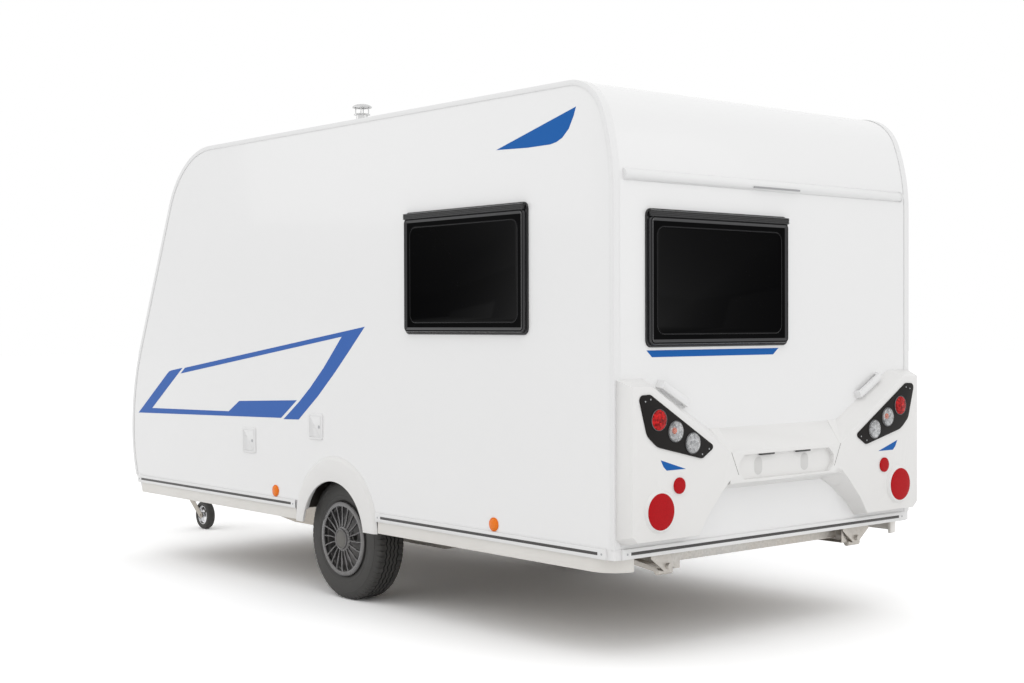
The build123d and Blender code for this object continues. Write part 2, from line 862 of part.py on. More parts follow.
def trailing_arm(side):
    offsets = sorted((side * arm_inner, side * arm_outer))
    eye = Pos(beam_station, beam_height) * Circle(beam_radius + member_web)
    end = Pos(axle_station, hub_height) * Circle(2 * stub_radius)
    link = make_hull((eye + end).edges())
    arm = plate_along_y(link, *offsets)
    stub = rod((axle_station, side * arm_outer, hub_height),
               (axle_station, side * (tyre_centre - arm_thick), hub_height), stub_radius)
    backplate = rod((axle_station, side * (tyre_centre - tyre_width / 2 - member_web), hub_height),
                    (axle_station, side * (tyre_centre - tyre_width / 2), hub_height), drum_radius)
    return arm + stub + backplate


pieces["trailing_arms"] = [trailing_arm(1), trailing_arm(-1)]


# Road wheels: tyre, steel wheel with its drum, and the spoked trim with its cap
tyre_half = tyre_width / 2
tread_half = tyre_half - tread_margin
tyre_section = both_ways([
    (tyre_bead_radius, rim_half_width),
    (rim_flange_radius + bead_seat, rim_half_width + bead_bulge),
    (rim_flange_radius + bead_rise, tyre_half - bead_inset),
    (rim_flange_radius + belly_rise, tyre_half),
    (tyre_radius - sidewall_drop, tyre_half - sidewall_inset),
    (tyre_radius - shoulder_drop, tread_half + shoulder_run),
    (tyre_radius, tread_half),
])
tyre = ring_about_y(tyre_section, axle_station, tyre_centre, hub_height)

barrel_radius = tyre_bead_radius - seat_gap
barrel_inner = barrel_radius - rim_thick
flange_out = rim_half_width + rim_thick + bead_bulge
rim_section = (
    (barrel_inner, -rim_half_width - rim_thick), (rim_flange_radius - rim_thick, -flange_out),
    (rim_flange_radius, -flange_out), (rim_flange_radius, -flange_out + rim_thick),
    (barrel_radius, -rim_half_width - seat_gap), (barrel_radius, rim_half_width + seat_gap),
    (rim_flange_radius, flange_out - rim_thick), (rim_flange_radius, flange_out),
    (rim_flange_radius - rim_thick, flange_out), (barrel_inner, rim_half_width + rim_thick),
    (barrel_inner, disc_root), (disc_crown_radius, disc_crown), (disc_face_radius, disc_face),
    (disc_bore, disc_face), (disc_bore, disc_face - disc_thick), (disc_face_radius, disc_face - disc_thick),
    (disc_crown_radius, disc_crown - disc_thick), (barrel_inner, disc_root - disc_thick),
)
rim = ring_about_y(rim_section, axle_station, tyre_centre, hub_height)
drum_bore = stub_radius + seat_gap
drum_neck = drum_depth + drum_shoulder
drum_section = (
    (drum_bore, 0), (drum_radius, 0), (drum_radius, drum_depth), (drum_nose_radius, drum_neck),
    (drum_nose_radius, drum_neck + drum_nose), (drum_bore, drum_neck + drum_nose),
)
drum_start = tyre_centre + disc_face - disc_thick - drum_neck - drum_nose
drum = ring_about_y(drum_section, axle_station, drum_start, hub_height)

ring_inner = trim_radius - trim_ring_width
lip_reach = trim_face - tyre_centre - flange_out - seat_gap
lip_radius = rim_flange_radius - rim_thick
ring_section = (
    (ring_inner, -trim_ring_thick), (ring_inner, 0), (trim_radius - trim_ease, 0), (trim_radius, -trim_ease),
    (trim_radius, -trim_ring_depth), (trim_radius - trim_lip, -trim_ring_depth),
    (trim_radius - trim_ease, -trim_ring_thick), (lip_radius, -trim_ring_thick), (lip_radius, -lip_reach),
    (lip_radius - rim_thick, -lip_reach), (lip_radius - rim_thick, -trim_ring_thick),
)
trim = ring_about_y(ring_section, axle_station, trim_face, hub_height)
spoke_inner = hub_cap_radius - spoke_lap
spoke_outer = ring_inner + spoke_lap
spoke_middle = (spoke_inner + spoke_outer) / 2
spoke_outline = polygon(
    (spoke_inner, -spoke_root_half), (spoke_inner, spoke_root_half),
    (spoke_middle, spoke_bow + spoke_middle_half), (spoke_outer, spoke_tip_half),
    (spoke_outer, -spoke_tip_half), (spoke_middle, spoke_bow - spoke_middle_half),
)
spoke = extrude(Plane.XZ * spoke_outline, spoke_depth, taper=-spoke_slope)
for index in range(spoke_count):
    trim += Pos(axle_station, trim_face, hub_height) * Rot(0, index * 360 / spoke_count, 0) * spoke
hub_ring_radius = hub_cap_radius + hub_ring_width
hub_section = (
    (0, -hub_depth), (hub_ring_radius, -hub_depth), (hub_ring_radius, 0), (hub_cap_radius, 0),
    (hub_cap_radius - hub_cap_ease, hub_cap_proud), (0, hub_cap_proud),
)
trim += ring_about_y(hub_section, axle_station, trim_face, hub_height)

for name, piece in (("tyre", tyre), ("rim", rim + drum), ("wheel_trim", trim)):
    pieces[name + "_left"] = [piece]
    pieces[name + "_right"] = [mirrored(piece)]


# Overrun housing, gaiter and coupling head with its ball socket
housing_top = drawbar_top + housing_tall
housing = block((housing_start, housing_end), (-housing_width / 2, housing_width / 2),
                (drawbar_top, housing_top))
pieces["overrun_housing"] = [housing]
gaiter_end = housing_end + gaiter_length
fold = gaiter_length / gaiter_folds
profile = [(0, 0), (0, gaiter_radius)]
for index in range(gaiter_folds):
    profile.append((index * fold + fold / 2, gaiter_radius * gaiter_valley_share))
    profile.append(((index + 1) * fold, gaiter_radius))
profile.append((gaiter_length, 0))
gaiter = Pos(housing_end, 0, shaft_height) * revolve(Plane.XY * polygon(*profile), Axis.X, 360)
pieces["gaiter"] = [gaiter]

socket_circle = Pos(socket_station, 0) * Circle(socket_radius)
head_foot = Pos(gaiter_end + head_root / 2, 0) * Rectangle(head_root, head_width)
head_plan = make_hull((socket_circle + head_foot).edges())
head_top = shaft_height + head_tall / 2
head = plate_along_z(head_plan, shaft_height - head_tall / 2, head_top)
head += post(socket_station, 0, socket_base, socket_top, socket_radius)
head -= post(socket_station, 0, socket_base - overrun, socket_base + socket_depth, ball_radius)
pieces["coupling_head"] = [head]
handle_points = [(socket_station - back * handle_back, head_top + rise * handle_tall)
                 for back, rise in handle_shares]
pieces["coupling_handle"] = [plate_along_y(polygon(*handle_points), -handle_half_width, handle_half_width)]
lever_points = [(lever_start + along * lever_length, housing_top + rise * lever_tall)
                for along, rise in lever_shares]
pieces["brake_lever"] = [plate_along_y(polygon(*lever_points), -lever_offset, -lever_offset + lever_thick)]


# Jockey wheel: clamp and mast on the drawbar, inner tube with its fork, and the wheel
clamp = block((jockey_station - clamp_half_length, jockey_station + clamp_half_length),
              (0, jockey_offset + mast_radius + clamp_wall),
              (drawbar_base + clamp_margin, drawbar_top - clamp_margin))
clamp -= drawbar_solid
clamp &= block((0, 2 * jockey_station), (drawbar_tip_offset, body_width), (0, roof_height))
clamp -= post(jockey_station, jockey_offset, 0, roof_height, mast_radius + seat_gap)
clamp = clamp.solids().sort_by(Axis.Y)[-1]
pieces["jockey_clamp"] = [clamp]
mast = post(jockey_station, jockey_offset, mast_base, mast_top, mast_radius)
mast -= post(jockey_station, jockey_offset, mast_base - overrun, mast_top - mast_wall, mast_radius - mast_wall)
arm_height = mast_top + crank_height
grip_station = jockey_station - crank_reach + crank_radius
mast += post(jockey_station, jockey_offset, mast_top, mast_top + crank_boss_tall, crank_boss_radius)
mast += rod((jockey_station, jockey_offset, arm_height),
            (jockey_station - crank_reach, jockey_offset, arm_height), crank_radius)
mast += post(grip_station, jockey_offset, arm_height, arm_height + crank_grip_tall, crank_grip_radius)
pieces["jockey_mast"] = [mast]

jockey_axle = jockey_station - jockey_trail
crown_base = crown_height - 2 * crown_thick
spigot_base = crown_base - seat_gap
inner_tube = post(jockey_station, jockey_offset, crown_height + seat_gap, inner_tube_top, inner_tube_radius)
inner_tube += post(jockey_station, jockey_offset, spigot_base, crown_height + crown_thick, spigot_radius)
inner_tube += post(jockey_station, jockey_offset, spigot_base - spigot_head, spigot_base, spigot_head_radius)
pieces["jockey_inner_tube"] = [inner_tube]
fork_width = fork_gap + fork_thick
fork = post(jockey_station, jockey_offset, crown_height - crown_thick, crown_height, crown_radius)
fork += block((jockey_station - crown_radius, jockey_station + crown_radius),
              (jockey_offset - fork_width, jockey_offset + fork_width), (crown_base, crown_height - crown_thick))
fork -= post(jockey_station, jockey_offset, 0, roof_height, spigot_radius + seat_gap)
boss = Pos(jockey_axle, jockey_wheel_radius) * Circle(jockey_axle_radius + fork_boss_wall)
root = Pos(jockey_station, crown_base + crown_thick / 2) * Rectangle(2 * crown_radius, crown_thick)
cheek = make_hull((boss + root).edges())
for side in (1, -1):
    cheek_offsets = sorted((jockey_offset + side * fork_gap, jockey_offset + side * fork_width))
    fork += plate_along_y(cheek, *cheek_offsets)
axle_half = fork_width + jockey_axle_proud
fork += rod((jockey_axle, jockey_offset - axle_half, jockey_wheel_radius),
            (jockey_axle, jockey_offset + axle_half, jockey_wheel_radius), jockey_axle_radius)
pieces["jockey_fork"] = [fork]

wheel_half = jockey_wheel_width / 2
jockey_tyre_section = both_ways([
    (jockey_rim_radius + seat_gap, wheel_half - jockey_bead),
    (jockey_rim_radius + jockey_bead, wheel_half),
    (jockey_wheel_radius - jockey_sidewall, wheel_half),
    (jockey_wheel_radius - jockey_shoulder_drop, wheel_half - jockey_bead),
    (jockey_wheel_radius, wheel_half - jockey_tread_margin),
])
pieces["jockey_tyre"] = [ring_about_y(jockey_tyre_section, jockey_axle, jockey_offset, jockey_wheel_radius)]
hub_bore = jockey_axle_radius + seat_gap
jockey_rim_section = both_ways([
    (hub_bore, wheel_half - jockey_rim_inset), (hub_bore + jockey_hub_wall, wheel_half - jockey_rim_inset),
    (hub_bore + jockey_hub_wall, jockey_rim_thick), (jockey_rim_radius - jockey_rim_thick, jockey_rim_thick),
    (jockey_rim_radius - jockey_rim_thick, wheel_half - jockey_bead),
    (jockey_rim_radius, wheel_half - jockey_bead),
])
pieces["jockey_rim"] = [ring_about_y(jockey_rim_section, jockey_axle, jockey_offset, jockey_wheel_radius)]


# Corner steadies: a fixed frame with its end plate and spindle, and a hinged leg with a cross foot
def steady(plate_station, forward, side):
    # forward is 1 where the frame runs forward from its end plate, as at the rear
    middle = side * steady_offset
    plate_far = plate_station + forward * steady_plate_thick
    pivot_station = plate_station + forward * steady_reach
    shape = polygon(
        (middle - steady_plate_half_width, floor_height), (middle + steady_plate_half_width, floor_height),
        (middle + steady_plate_half_width, steady_plate_shoulder), (middle + steady_tip_half_width, steady_plate_tip),
        (middle - steady_tip_half_width, steady_plate_tip), (middle - steady_plate_half_width, steady_plate_shoulder),
    )
    frame = plate_along_x(shape, *sorted((plate_station, plate_far)))
    run = sorted((plate_station, pivot_station + forward * steady_ear_half_length))
    wide = steady_frame_gap + steady_frame_thick
    frame += block(run, (middle - wide, middle + wide), (floor_height - steady_frame_thick, floor_height))
    for flank in (1, -1):
        cheek_offsets = sorted((middle + flank * steady_frame_gap, middle + flank * wide))
        ear = (pivot_station - steady_ear_half_length, pivot_station + steady_ear_half_length)
        frame += block(ear, cheek_offsets, (steady_pivot_height - steady_ear_drop, floor_height))
    pin_half = wide + steady_pin_proud
    frame += rod((pivot_station, middle - pin_half, steady_pivot_height),
                 (pivot_station, middle + pin_half, steady_pivot_height), steady_pin_radius)
    frame += rod((plate_station - forward * steady_nut_length, middle, steady_spindle_height),
                 (plate_station, middle, steady_spindle_height), steady_nut_radius)
    frame += rod((plate_station, middle, steady_spindle_height),
                 (pivot_station - forward * steady_spindle_short, middle, steady_spindle_height),
                 steady_spindle_radius)
    foot_station = plate_station + forward * steady_foot_setback
    top = Pos(pivot_station, steady_pivot_height) * Circle(steady_knuckle_radius)
    end = Pos(foot_station, steady_foot_height) * Circle(steady_toe_radius)
    pin_hole = Pos(pivot_station, steady_pivot_height) * Circle(steady_pin_radius + seat_gap)
    flank_face = make_hull((top + end).edges()) - pin_hole
    leg = rod((foot_station, middle - steady_foot_length / 2, steady_foot_height),
              (foot_station, middle + steady_foot_length / 2, steady_foot_height), steady_foot_radius)
    for flank in (1, -1):
        leg_offsets = sorted((middle + flank * (steady_leg_half_width - steady_leg_thick),
                              middle + flank * steady_leg_half_width))
        leg += plate_along_y(flank_face, *leg_offsets)
    return frame, leg


steady_places = {
    "rear_left": (steady_rear_plate, 1, 1), "rear_right": (steady_rear_plate, 1, -1),
    "front_left": (steady_front_plate, -1, 1), "front_right": (steady_front_plate, -1, -1),
}
steady_frames = []
for name, place in steady_places.items():
    frame, leg = steady(*place)
    steady_frames.append(frame)
    pieces["steady_leg_" + name] = [leg]
pieces["steady_frames"] = steady_frames


# Entrance door on the right, with its window, grip and hinges
door = plate_along_y(doorway(0), -half_width, -inner_half_width) - window_hole(*door_window)
fixed_hinges = []


def side_hinge(station, height):
    # A hinge on the right wall, its fixed half forward of the moving one
    return Plane(origin=(station, -half_width - hinge_stand_off, height), x_dir=(1, 0, 0), z_dir=(0, 0, -1))


for height in door_hinge_heights:
    moving, fixed = hinge(side_hinge(door_end + door_gap / 2, height), hinge_length)
    door += moving
    fixed_hinges.append(fixed)
grip_start = door_start + grip_setback
grip = block((grip_start, grip_start + grip_width), (-half_width - grip_depth, -half_width), (grip_base, grip_top))
grip -= block((grip_start - overrun, grip_start + grip_width + overrun),
              (-half_width - grip_depth + grip_wall, -half_width), (grip_base + grip_post, grip_top - grip_post))
pieces["entrance_door"] = [door]
pieces["door_fittings"] = [window_frame(*door_window), grip]
pieces["door_pane"] = [window_pane(*door_window)]

# Service door at the rear of the right side
service_door = plate_along_y(service_doorway(0), -half_width, -inner_half_width)
service_hinge_height = (service_door_base + service_door_top) / 2
moving, fixed = hinge(side_hinge(service_door_end + door_gap / 2, service_hinge_height), 2 * hinge_length)
service_door += moving
fixed_hinges.append(fixed)
pieces["service_door"] = [service_door]

# Gas locker behind a lid in the nose
locker_lid = band & plate_along_x(locker_mouth(0), middle_station, nose_station + overrun)
lid_hinge_height = locker_top + door_gap / 2
lid_slope = math.asin((lid_hinge_height - nose_height) / nose_radius)
lid_hinge_reach = nose_radius + hinge_stand_off
lid_hinge_station = nose_station - nose_radius + lid_hinge_reach * math.cos(lid_slope)
lid_hinge_axis_height = nose_height + lid_hinge_reach * math.sin(lid_slope)
for place in lid_hinge_places:
    plane = Plane(origin=(lid_hinge_station, place, lid_hinge_axis_height),
                  x_dir=(-math.sin(lid_slope), 0, math.cos(lid_slope)), z_dir=(0, 1, 0))
    moving, fixed = hinge(plane, 2 * hinge_length)
    locker_lid += moving
    fixed_hinges.append(fixed)
pieces["hinges"] = fixed_hinges
pieces["locker_lid"] = [locker_lid]
locker = block((locker_bulkhead, locker_bulkhead + locker_wall), (-inner_half_width, inner_half_width),
               (floor_top, locker_shelf))
locker += block((locker_bulkhead, nose_station), (-inner_half_width, inner_half_width),
                (locker_shelf - locker_wall, locker_shelf))
locker &= plate_along_y(floor_outline, -inner_half_width, inner_half_width)
pieces["gas_locker"] = [locker]


# Rear lamp moulding: two wings whose sides slope in from the wall to the face, and a beam between
# them, all as one thin skin open towards the wall
def inset_points(points, inset):
    # Moves each edge of a clockwise or anticlockwise outline in and finds the new corners
    count = len(points)
    turn = sum(points[i - 1][0] * points[i][1] - points[i][0] * points[i - 1][1] for i in range(count))
    inward = inset * math.copysign(1, turn)
    corners = []
    for i in range(count):
        before, here, after = (Vector(*points[j % count]) for j in (i - 1, i, i + 1))
        first = (here - before).normalized()
        second = (after - here).normalized()
        bisector = (second - first) / (first.X * second.Y - first.Y * second.X)
        corner = here + bisector * inward
        corners.append((corner.X, corner.Y))
    return corners


def moulding_points(shares):
    return [(y * moulding_half_width, moulding_base + z * moulding_tall) for y, z in shares]


def wing_loft(inset):
    # One wing on the left, lofted from its outline at the wall to its outline at the face
    root = polygon(*inset_points(moulding_points(wing_root_shares), inset))
    face = polygon(*inset_points(moulding_points(wing_face_shares), inset))
    return loft([Plane.YZ * root, Plane.YZ.offset(-moulding_depth + inset) * face], ruled=True)


def moulding_beam(inset):
    # The section of the beam: its top and its underside slope in from the wall to the face
    points = [(0, beam_root_top), (-moulding_depth, beam_face_top), (-moulding_depth, beam_face_base),
              (0, beam_root_base)]
    half = beam_half_share * moulding_half_width
    return plate_along_y(polygon(*inset_points(points, inset)), -half, half)


wing = wing_loft(0)
wing = fillet(wing.faces().sort_by(Axis.X)[0].edges(), moulding_ease)
wing_hollow = wing_loft(moulding_skin)
moulding = moulding_beam(0) + wing + mirrored(wing)
back_opening = block((-moulding_skin, overrun), (-beam_half_share * moulding_half_width,
                     beam_half_share * moulding_half_width),
                     (beam_root_base + moulding_skin, beam_root_top - 2 * moulding_skin))
hollow = moulding_beam(moulding_skin) + back_opening + wing_hollow + mirrored(wing_hollow)


def recess_outline(grow):
    # The number plate's recess with its corners cut off
    half = plate_recess_half_share * moulding_half_width + grow
    low, high = plate_recess_base - grow, plate_recess_top + grow
    shape = Pos(0, (low + high) / 2) * Rectangle(2 * half, high - low)
    return chamfer(shape.vertices(), plate_recess_corner)


recess = plate_along_x(recess_outline(0), -moulding_depth - overrun, -moulding_depth + plate_recess_depth)
recess_skin = plate_along_x(recess_outline(moulding_skin), -moulding_depth,
                            -moulding_depth + plate_recess_depth + moulding_skin)
moulding = moulding - (hollow - recess_skin) - recess
reflector_middle = moulding_points([reflector_shares])[0]
for side in (1, -1):
    pad_plane = wall_plane((-moulding_depth, side * reflector_middle[0], reflector_middle[1]), (-1, 0, 0))
    moulding += loft([pad_plane * Circle(reflector_pad_radius),
                      pad_plane.offset(reflector_pad_proud) * Circle(reflector_pad_tip_radius)])
    rail_face = side * (half_width - edge_rail_top_cover - seat_gap)
    moulding -= block((-edge_rail_proud - seat_gap, overrun), sorted((rail_face, side * body_width)),
                      (0, roof_height))
pieces["rear_moulding"] = [moulding]

# Lamp panels, lamps and reflectors on the moulding
panel_outline = polygon(*moulding_points(lamp_panel_shares))
panel_outline = fillet(panel_outline.vertices(), lamp_panel_corner)
panel_face = -moulding_depth - lamp_panel_thick
lamp_face = panel_face - lamp_proud
panel = plate_along_x(panel_outline, panel_face, -moulding_depth)
lamps = [rod((lamp_face, y, z), (panel_face, y, z), lamp_radius) for y, z in moulding_points(lamp_shares)]
# Reflectors as (place, radius, the station of their seat)
reflector_runs = (
    (reflector_shares, reflector_radius, -moulding_depth - reflector_pad_proud),
    (small_reflector_shares, small_reflector_radius, -moulding_depth),
)
reflectors = []
for shares, radius, seat in reflector_runs:
    y, z = moulding_points([shares])[0]
    reflectors.append(rod((lamp_face, y, z), (seat, y, z), radius))
pieces["lamp_panels"] = [panel, mirrored(panel)]
pieces["rear_lamps"] = lamps + [mirrored(lamp) for lamp in lamps] + [high_lamp]
pieces["rear_reflectors"] = reflectors + [mirrored(reflector) for reflector in reflectors]

# Rear grab handles: a flat bow along a sloping line on the wall
grab_run = Vector(0, grab_high[0] - grab_low[0], grab_high[1] - grab_low[1])
grab_half = grab_run.length / 2
grab_along = grab_run.normalized()
grab_plane = Plane(origin=(0, (grab_low[0] + grab_high[0]) / 2, (grab_low[1] + grab_high[1]) / 2),
                   x_dir=grab_along, z_dir=(0, -grab_along.Z, grab_along.Y))
grab_outer = polygon((-grab_half, 0), (-grab_half + grab_end_slope, grab_proud),
                     (grab_half - grab_end_slope, grab_proud), (grab_half, 0))
grab_inner_half = grab_half - grab_foot
grab_opening = polygon((-grab_inner_half, 0), (-grab_inner_half + grab_inner_slope, grab_proud - grab_bar),
                       (grab_inner_half - grab_inner_slope, grab_proud - grab_bar), (grab_inner_half, 0))
grab = extrude(grab_plane.offset(-grab_width / 2) * (grab_outer - grab_opening), grab_width)
pieces["grab_handles"] = [grab, mirrored(grab)]

# Side markers, service flaps and fridge vents
markers = [rod((station, half_width, marker_height), (station, half_width + marker_proud, marker_height),
               marker_radius) for station in marker_stations]
pieces["side_markers"] = markers + [mirrored(marker) for marker in markers]


def cover(station, height, wide, tall, offsets):
    # A flat cover on a side wall
    return block((station - wide / 2, station + wide / 2), offsets, (height - tall / 2, height + tall / 2))


flap_offsets = (half_width, half_width + flap_proud)
vent_offsets = (-half_width - vent_proud, -half_width)
pieces["service_flaps"] = [cover(*place, flap_width, flap_tall, flap_offsets) for place in flap_places]
pieces["fridge_vents"] = [cover(*place, vent_width, vent_tall, vent_offsets) for place in vent_places]


# Roof: flue cowl and two rooflights
plate_height = roof_height + cowl_tube_tall
cap_height = roof_height + cowl_cap_base
cowl = post(cowl_station, cowl_offset, roof_height, plate_height, cowl_tube_radius)
cowl += post(cowl_station, cowl_offset, plate_height, plate_height + cowl_plate_thick, cowl_plate_radius)
for index in range(cowl_post_count):
    angle = math.radians(cowl_post_turn + index * 360 / cowl_post_count)
    post_station = cowl_station + cowl_post_circle * math.cos(angle)
    post_offset = cowl_offset + cowl_post_circle * math.sin(angle)
    cowl += post(post_station, post_offset, plate_height, cap_height + cowl_post_lap, cowl_post_radius)
cowl += post(cowl_station, cowl_offset, cap_height, cap_height + cowl_cap_thick, cowl_cap_radius)
pieces["flue_cowl"] = [cowl]


def rooflight_layer(station, inset, low, high):
    size = rooflight_width - 2 * inset
    outline = Pos(station, 0) * RectangleRounded(size, size, rooflight_corner - inset / 2)
    return plate_along_z(outline, roof_height + low, roof_height + high)


rooflights = []
for station in rooflight_stations:
    dome = rooflight_layer(station, dome_inset, curb_tall, curb_tall + dome_tall)
    dome = chamfer(dome.faces().sort_by(Axis.Z)[-1].edges(), dome_ease)
    hollow_top = curb_tall + dome_tall - dome_roof_thick
    hollow = rooflight_layer(station, dome_inset + dome_skin, 0, hollow_top)
    rooflights.append(rooflight_layer(station, 0, 0, curb_tall) + dome - hollow)
pieces["rooflights"] = rooflights


# Move every piece so that the origin is on the ground in the middle of the overall length
front_tip = socket_station + socket_radius
to_origin = Pos(-(lamp_face + front_tip) / 2, 0, 0)
for name, shapes in pieces.items():
    solids = [to_origin * solid for shape in shapes for solid in shape.solids()]
    export_step(Compound(solids), os.path.join("parts", name + ".step"))
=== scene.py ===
import math
import bmesh
import bpy
from mathutils import Matrix, Vector


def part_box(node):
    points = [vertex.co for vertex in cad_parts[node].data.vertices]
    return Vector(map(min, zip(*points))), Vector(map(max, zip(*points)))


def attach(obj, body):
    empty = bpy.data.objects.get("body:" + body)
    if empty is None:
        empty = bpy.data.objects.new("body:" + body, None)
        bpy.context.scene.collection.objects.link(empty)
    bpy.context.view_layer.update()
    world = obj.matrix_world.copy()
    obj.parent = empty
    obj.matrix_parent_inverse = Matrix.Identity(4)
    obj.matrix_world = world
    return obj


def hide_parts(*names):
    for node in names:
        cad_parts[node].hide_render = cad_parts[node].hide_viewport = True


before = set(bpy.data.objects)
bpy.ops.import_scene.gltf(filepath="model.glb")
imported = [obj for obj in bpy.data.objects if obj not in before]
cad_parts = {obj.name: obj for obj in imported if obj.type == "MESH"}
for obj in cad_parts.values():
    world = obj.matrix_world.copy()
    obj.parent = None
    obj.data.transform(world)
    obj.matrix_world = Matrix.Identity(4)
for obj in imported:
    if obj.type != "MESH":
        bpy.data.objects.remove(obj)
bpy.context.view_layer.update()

# Metres throughout: +X forward to the tow coupling, +Y to the left, +Z up from the ground
mm = 0.001
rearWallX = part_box("wall_left")[0][0]
# Outer face of the side walls and rear face of the lamp wings, in millimetres as in at()
wallSide = 1050
wingFace = 80
wheelCentre = Vector([(low + high) / 2 for low, high in zip(*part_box("tyre_left"))])
print("stage: frame loaded")


# A place given as millimetres ahead of the rear wall, left of the middle and above the ground
def at(station, side, height):
    return Vector((rearWallX + station * mm, side * mm, height * mm))


# Camera, in the same terms
camera = {"station": -4671, "side": 5575.8, "height": 1478, "yaw": -0.7029, "pitch": -0.0120, "roll": -0.0029,
          "lens": 53.615, "sensor": 36.0}
forward = Vector((math.cos(camera["yaw"]) * math.cos(camera["pitch"]),
                  math.sin(camera["yaw"]) * math.cos(camera["pitch"]), math.sin(camera["pitch"])))
rightward = forward.cross(Vector((0, 0, 1))).normalized()
upward = rightward.cross(forward)
rolledRight = math.cos(camera["roll"]) * rightward + math.sin(camera["roll"]) * upward
rolledUp = -math.sin(camera["roll"]) * rightward + math.cos(camera["roll"]) * upward
cameraData = bpy.data.cameras.new("camera")
cameraData.lens = camera["lens"]
cameraData.sensor_width = camera["sensor"]
cameraData.sensor_fit = "HORIZONTAL"
cameraObject = bpy.data.objects.new("camera", cameraData)
turn = Matrix((rolledRight, rolledUp, -forward)).transposed().to_4x4()
cameraObject.matrix_world = Matrix.Translation(at(camera["station"], camera["side"], camera["height"])) @ turn
bpy.context.scene.collection.objects.link(cameraObject)
bpy.context.scene.camera = cameraObject
bpy.context.scene.view_settings.view_transform = "Standard"


# Puts values on a node's own sockets
def setValues(node, values):
    for label, value in values.items():
        node.inputs[label].default_value = value
    return node


def addNode(tree, kind, values=None):
    return setValues(tree.nodes.new("ShaderNode" + kind), values or {})


def addGroup(tree, group, values):
    node = tree.nodes.new("ShaderNodeGroup")
    node.node_tree = group
    return setValues(node, values)


# Links, each as (from node, output, to node, input)
def join(tree, *joints):
    for source, outlet, target, inlet in joints:
        tree.links.new(source.outputs[outlet], target.inputs[inlet])


# Shader node groups that several materials share
def newGroup(name, inputs, outputs):
    group = bpy.data.node_groups.new(name, "ShaderNodeTree")
    for label, kind, value in inputs:
        socket = group.interface.new_socket(name=label, in_out="INPUT", socket_type="NodeSocket" + kind)
        socket.default_value = value
    for label, kind in outputs:
        group.interface.new_socket(name=label, in_out="OUTPUT", socket_type="NodeSocket" + kind)
    return group, group.nodes.new("NodeGroupInput"), group.nodes.new("NodeGroupOutput")


# Fine moulded or rolled grain: a mask for colour and roughness, and a bumped normal
def makeGrain():
    group, given, result = newGroup(
        "fineGrain", [("Scale", "Float", 400.0), ("Depth", "Float", 0.1), ("Height", "Float", 0.0005)],
        [("Mask", "Float"), ("Normal", "Vector")])
    point = addNode(group, "TexCoord")
    noise = addNode(group, "TexNoise", {"Detail": 3.0})
    bump = addNode(group, "Bump")
    join(group, (point, "Object", noise, "Vector"), (given, "Scale", noise, "Scale"),
         (noise, "Fac", bump, "Height"), (given, "Depth", bump, "Strength"),
         (given, "Height", bump, "Distance"), (noise, "Fac", result, "Mask"),
         (bump, "Normal", result, "Normal"))
    return group


# Road film: a soft warm tint that grows towards the ground, broken up by clouds
def makeRoadFilm():
    group, given, result = newGroup(
        "roadFilm", [("Clean", "Color", (1, 1, 1, 1)), ("Film", "Color", (0.5, 0.45, 0.4, 1)),
                     ("Low", "Float", 0.3), ("High", "Float", 1.2), ("Amount", "Float", 0.1)],
        [("Color", "Color"), ("Mask", "Float")])
    point = addNode(group, "TexCoord")
    split = addNode(group, "SeparateXYZ")
    span = addNode(group, "MapRange", {"To Min": 1.0, "To Max": 0.0})
    cloud = addNode(group, "TexNoise", {"Scale": 2.3, "Detail": 5.0})
    byCloud, byAmount = addNode(group, "Math"), addNode(group, "Math")
    byCloud.operation = byAmount.operation = "MULTIPLY"
    mix = addNode(group, "MixRGB")
    join(group, (point, "Object", split, "Vector"), (point, "Object", cloud, "Vector"),
         (split, "Z", span, "Value"), (given, "Low", span, "From Min"), (given, "High", span, "From Max"),
         (span, "Result", byCloud, 0), (cloud, "Fac", byCloud, 1), (byCloud, "Value", byAmount, 0),
         (given, "Amount", byAmount, 1), (byAmount, "Value", mix, "Fac"), (given, "Clean", mix, "Color1"),
         (given, "Film", mix, "Color2"), (mix, "Color", result, "Color"), (byAmount, "Value", result, "Mask"))
    return group


grainGroup = makeGrain()
filmGroup = makeRoadFilm()


def startMaterial(name, settings):
    material = bpy.data.materials.new(name)
    material.use_nodes = True
    tree = material.node_tree
    return material, tree, setValues(tree.nodes["Principled BSDF"], settings)


# Feeds the shader a colour, a normal and a roughness that a mask spreads between two values
def feedShader(tree, shader, color, normal, mask, low, high):
    rough = addNode(tree, "MapRange", {"To Min": low, "To Max": high})
    join(tree, (*mask, rough, "Value"), (rough, "Result", shader, "Roughness"),
         (*color, shader, "Base Color"), (*normal, shader, "Normal"))


# Paint or plastic: a colour with road film and cloudy roughness over a fine grain
def filmedMaterial(name, color, roughness, settings, film, grain=None):
    material, tree, shader = startMaterial(name, settings)
    tint = addGroup(tree, filmGroup, {"Clean": (*color, 1), "Film": (0.42, 0.36, 0.29, 1), "Low": 0.30,
                                      "High": 1.1, "Amount": film})
    fine = addGroup(tree, grainGroup, grain or {"Scale": 900.0, "Depth": 0.05, "Height": 0.0002})
    feedShader(tree, shader, (tint, "Color"), (fine, "Normal"), (fine, "Mask"), roughness * 0.8,
               roughness * 1.2)
    return material


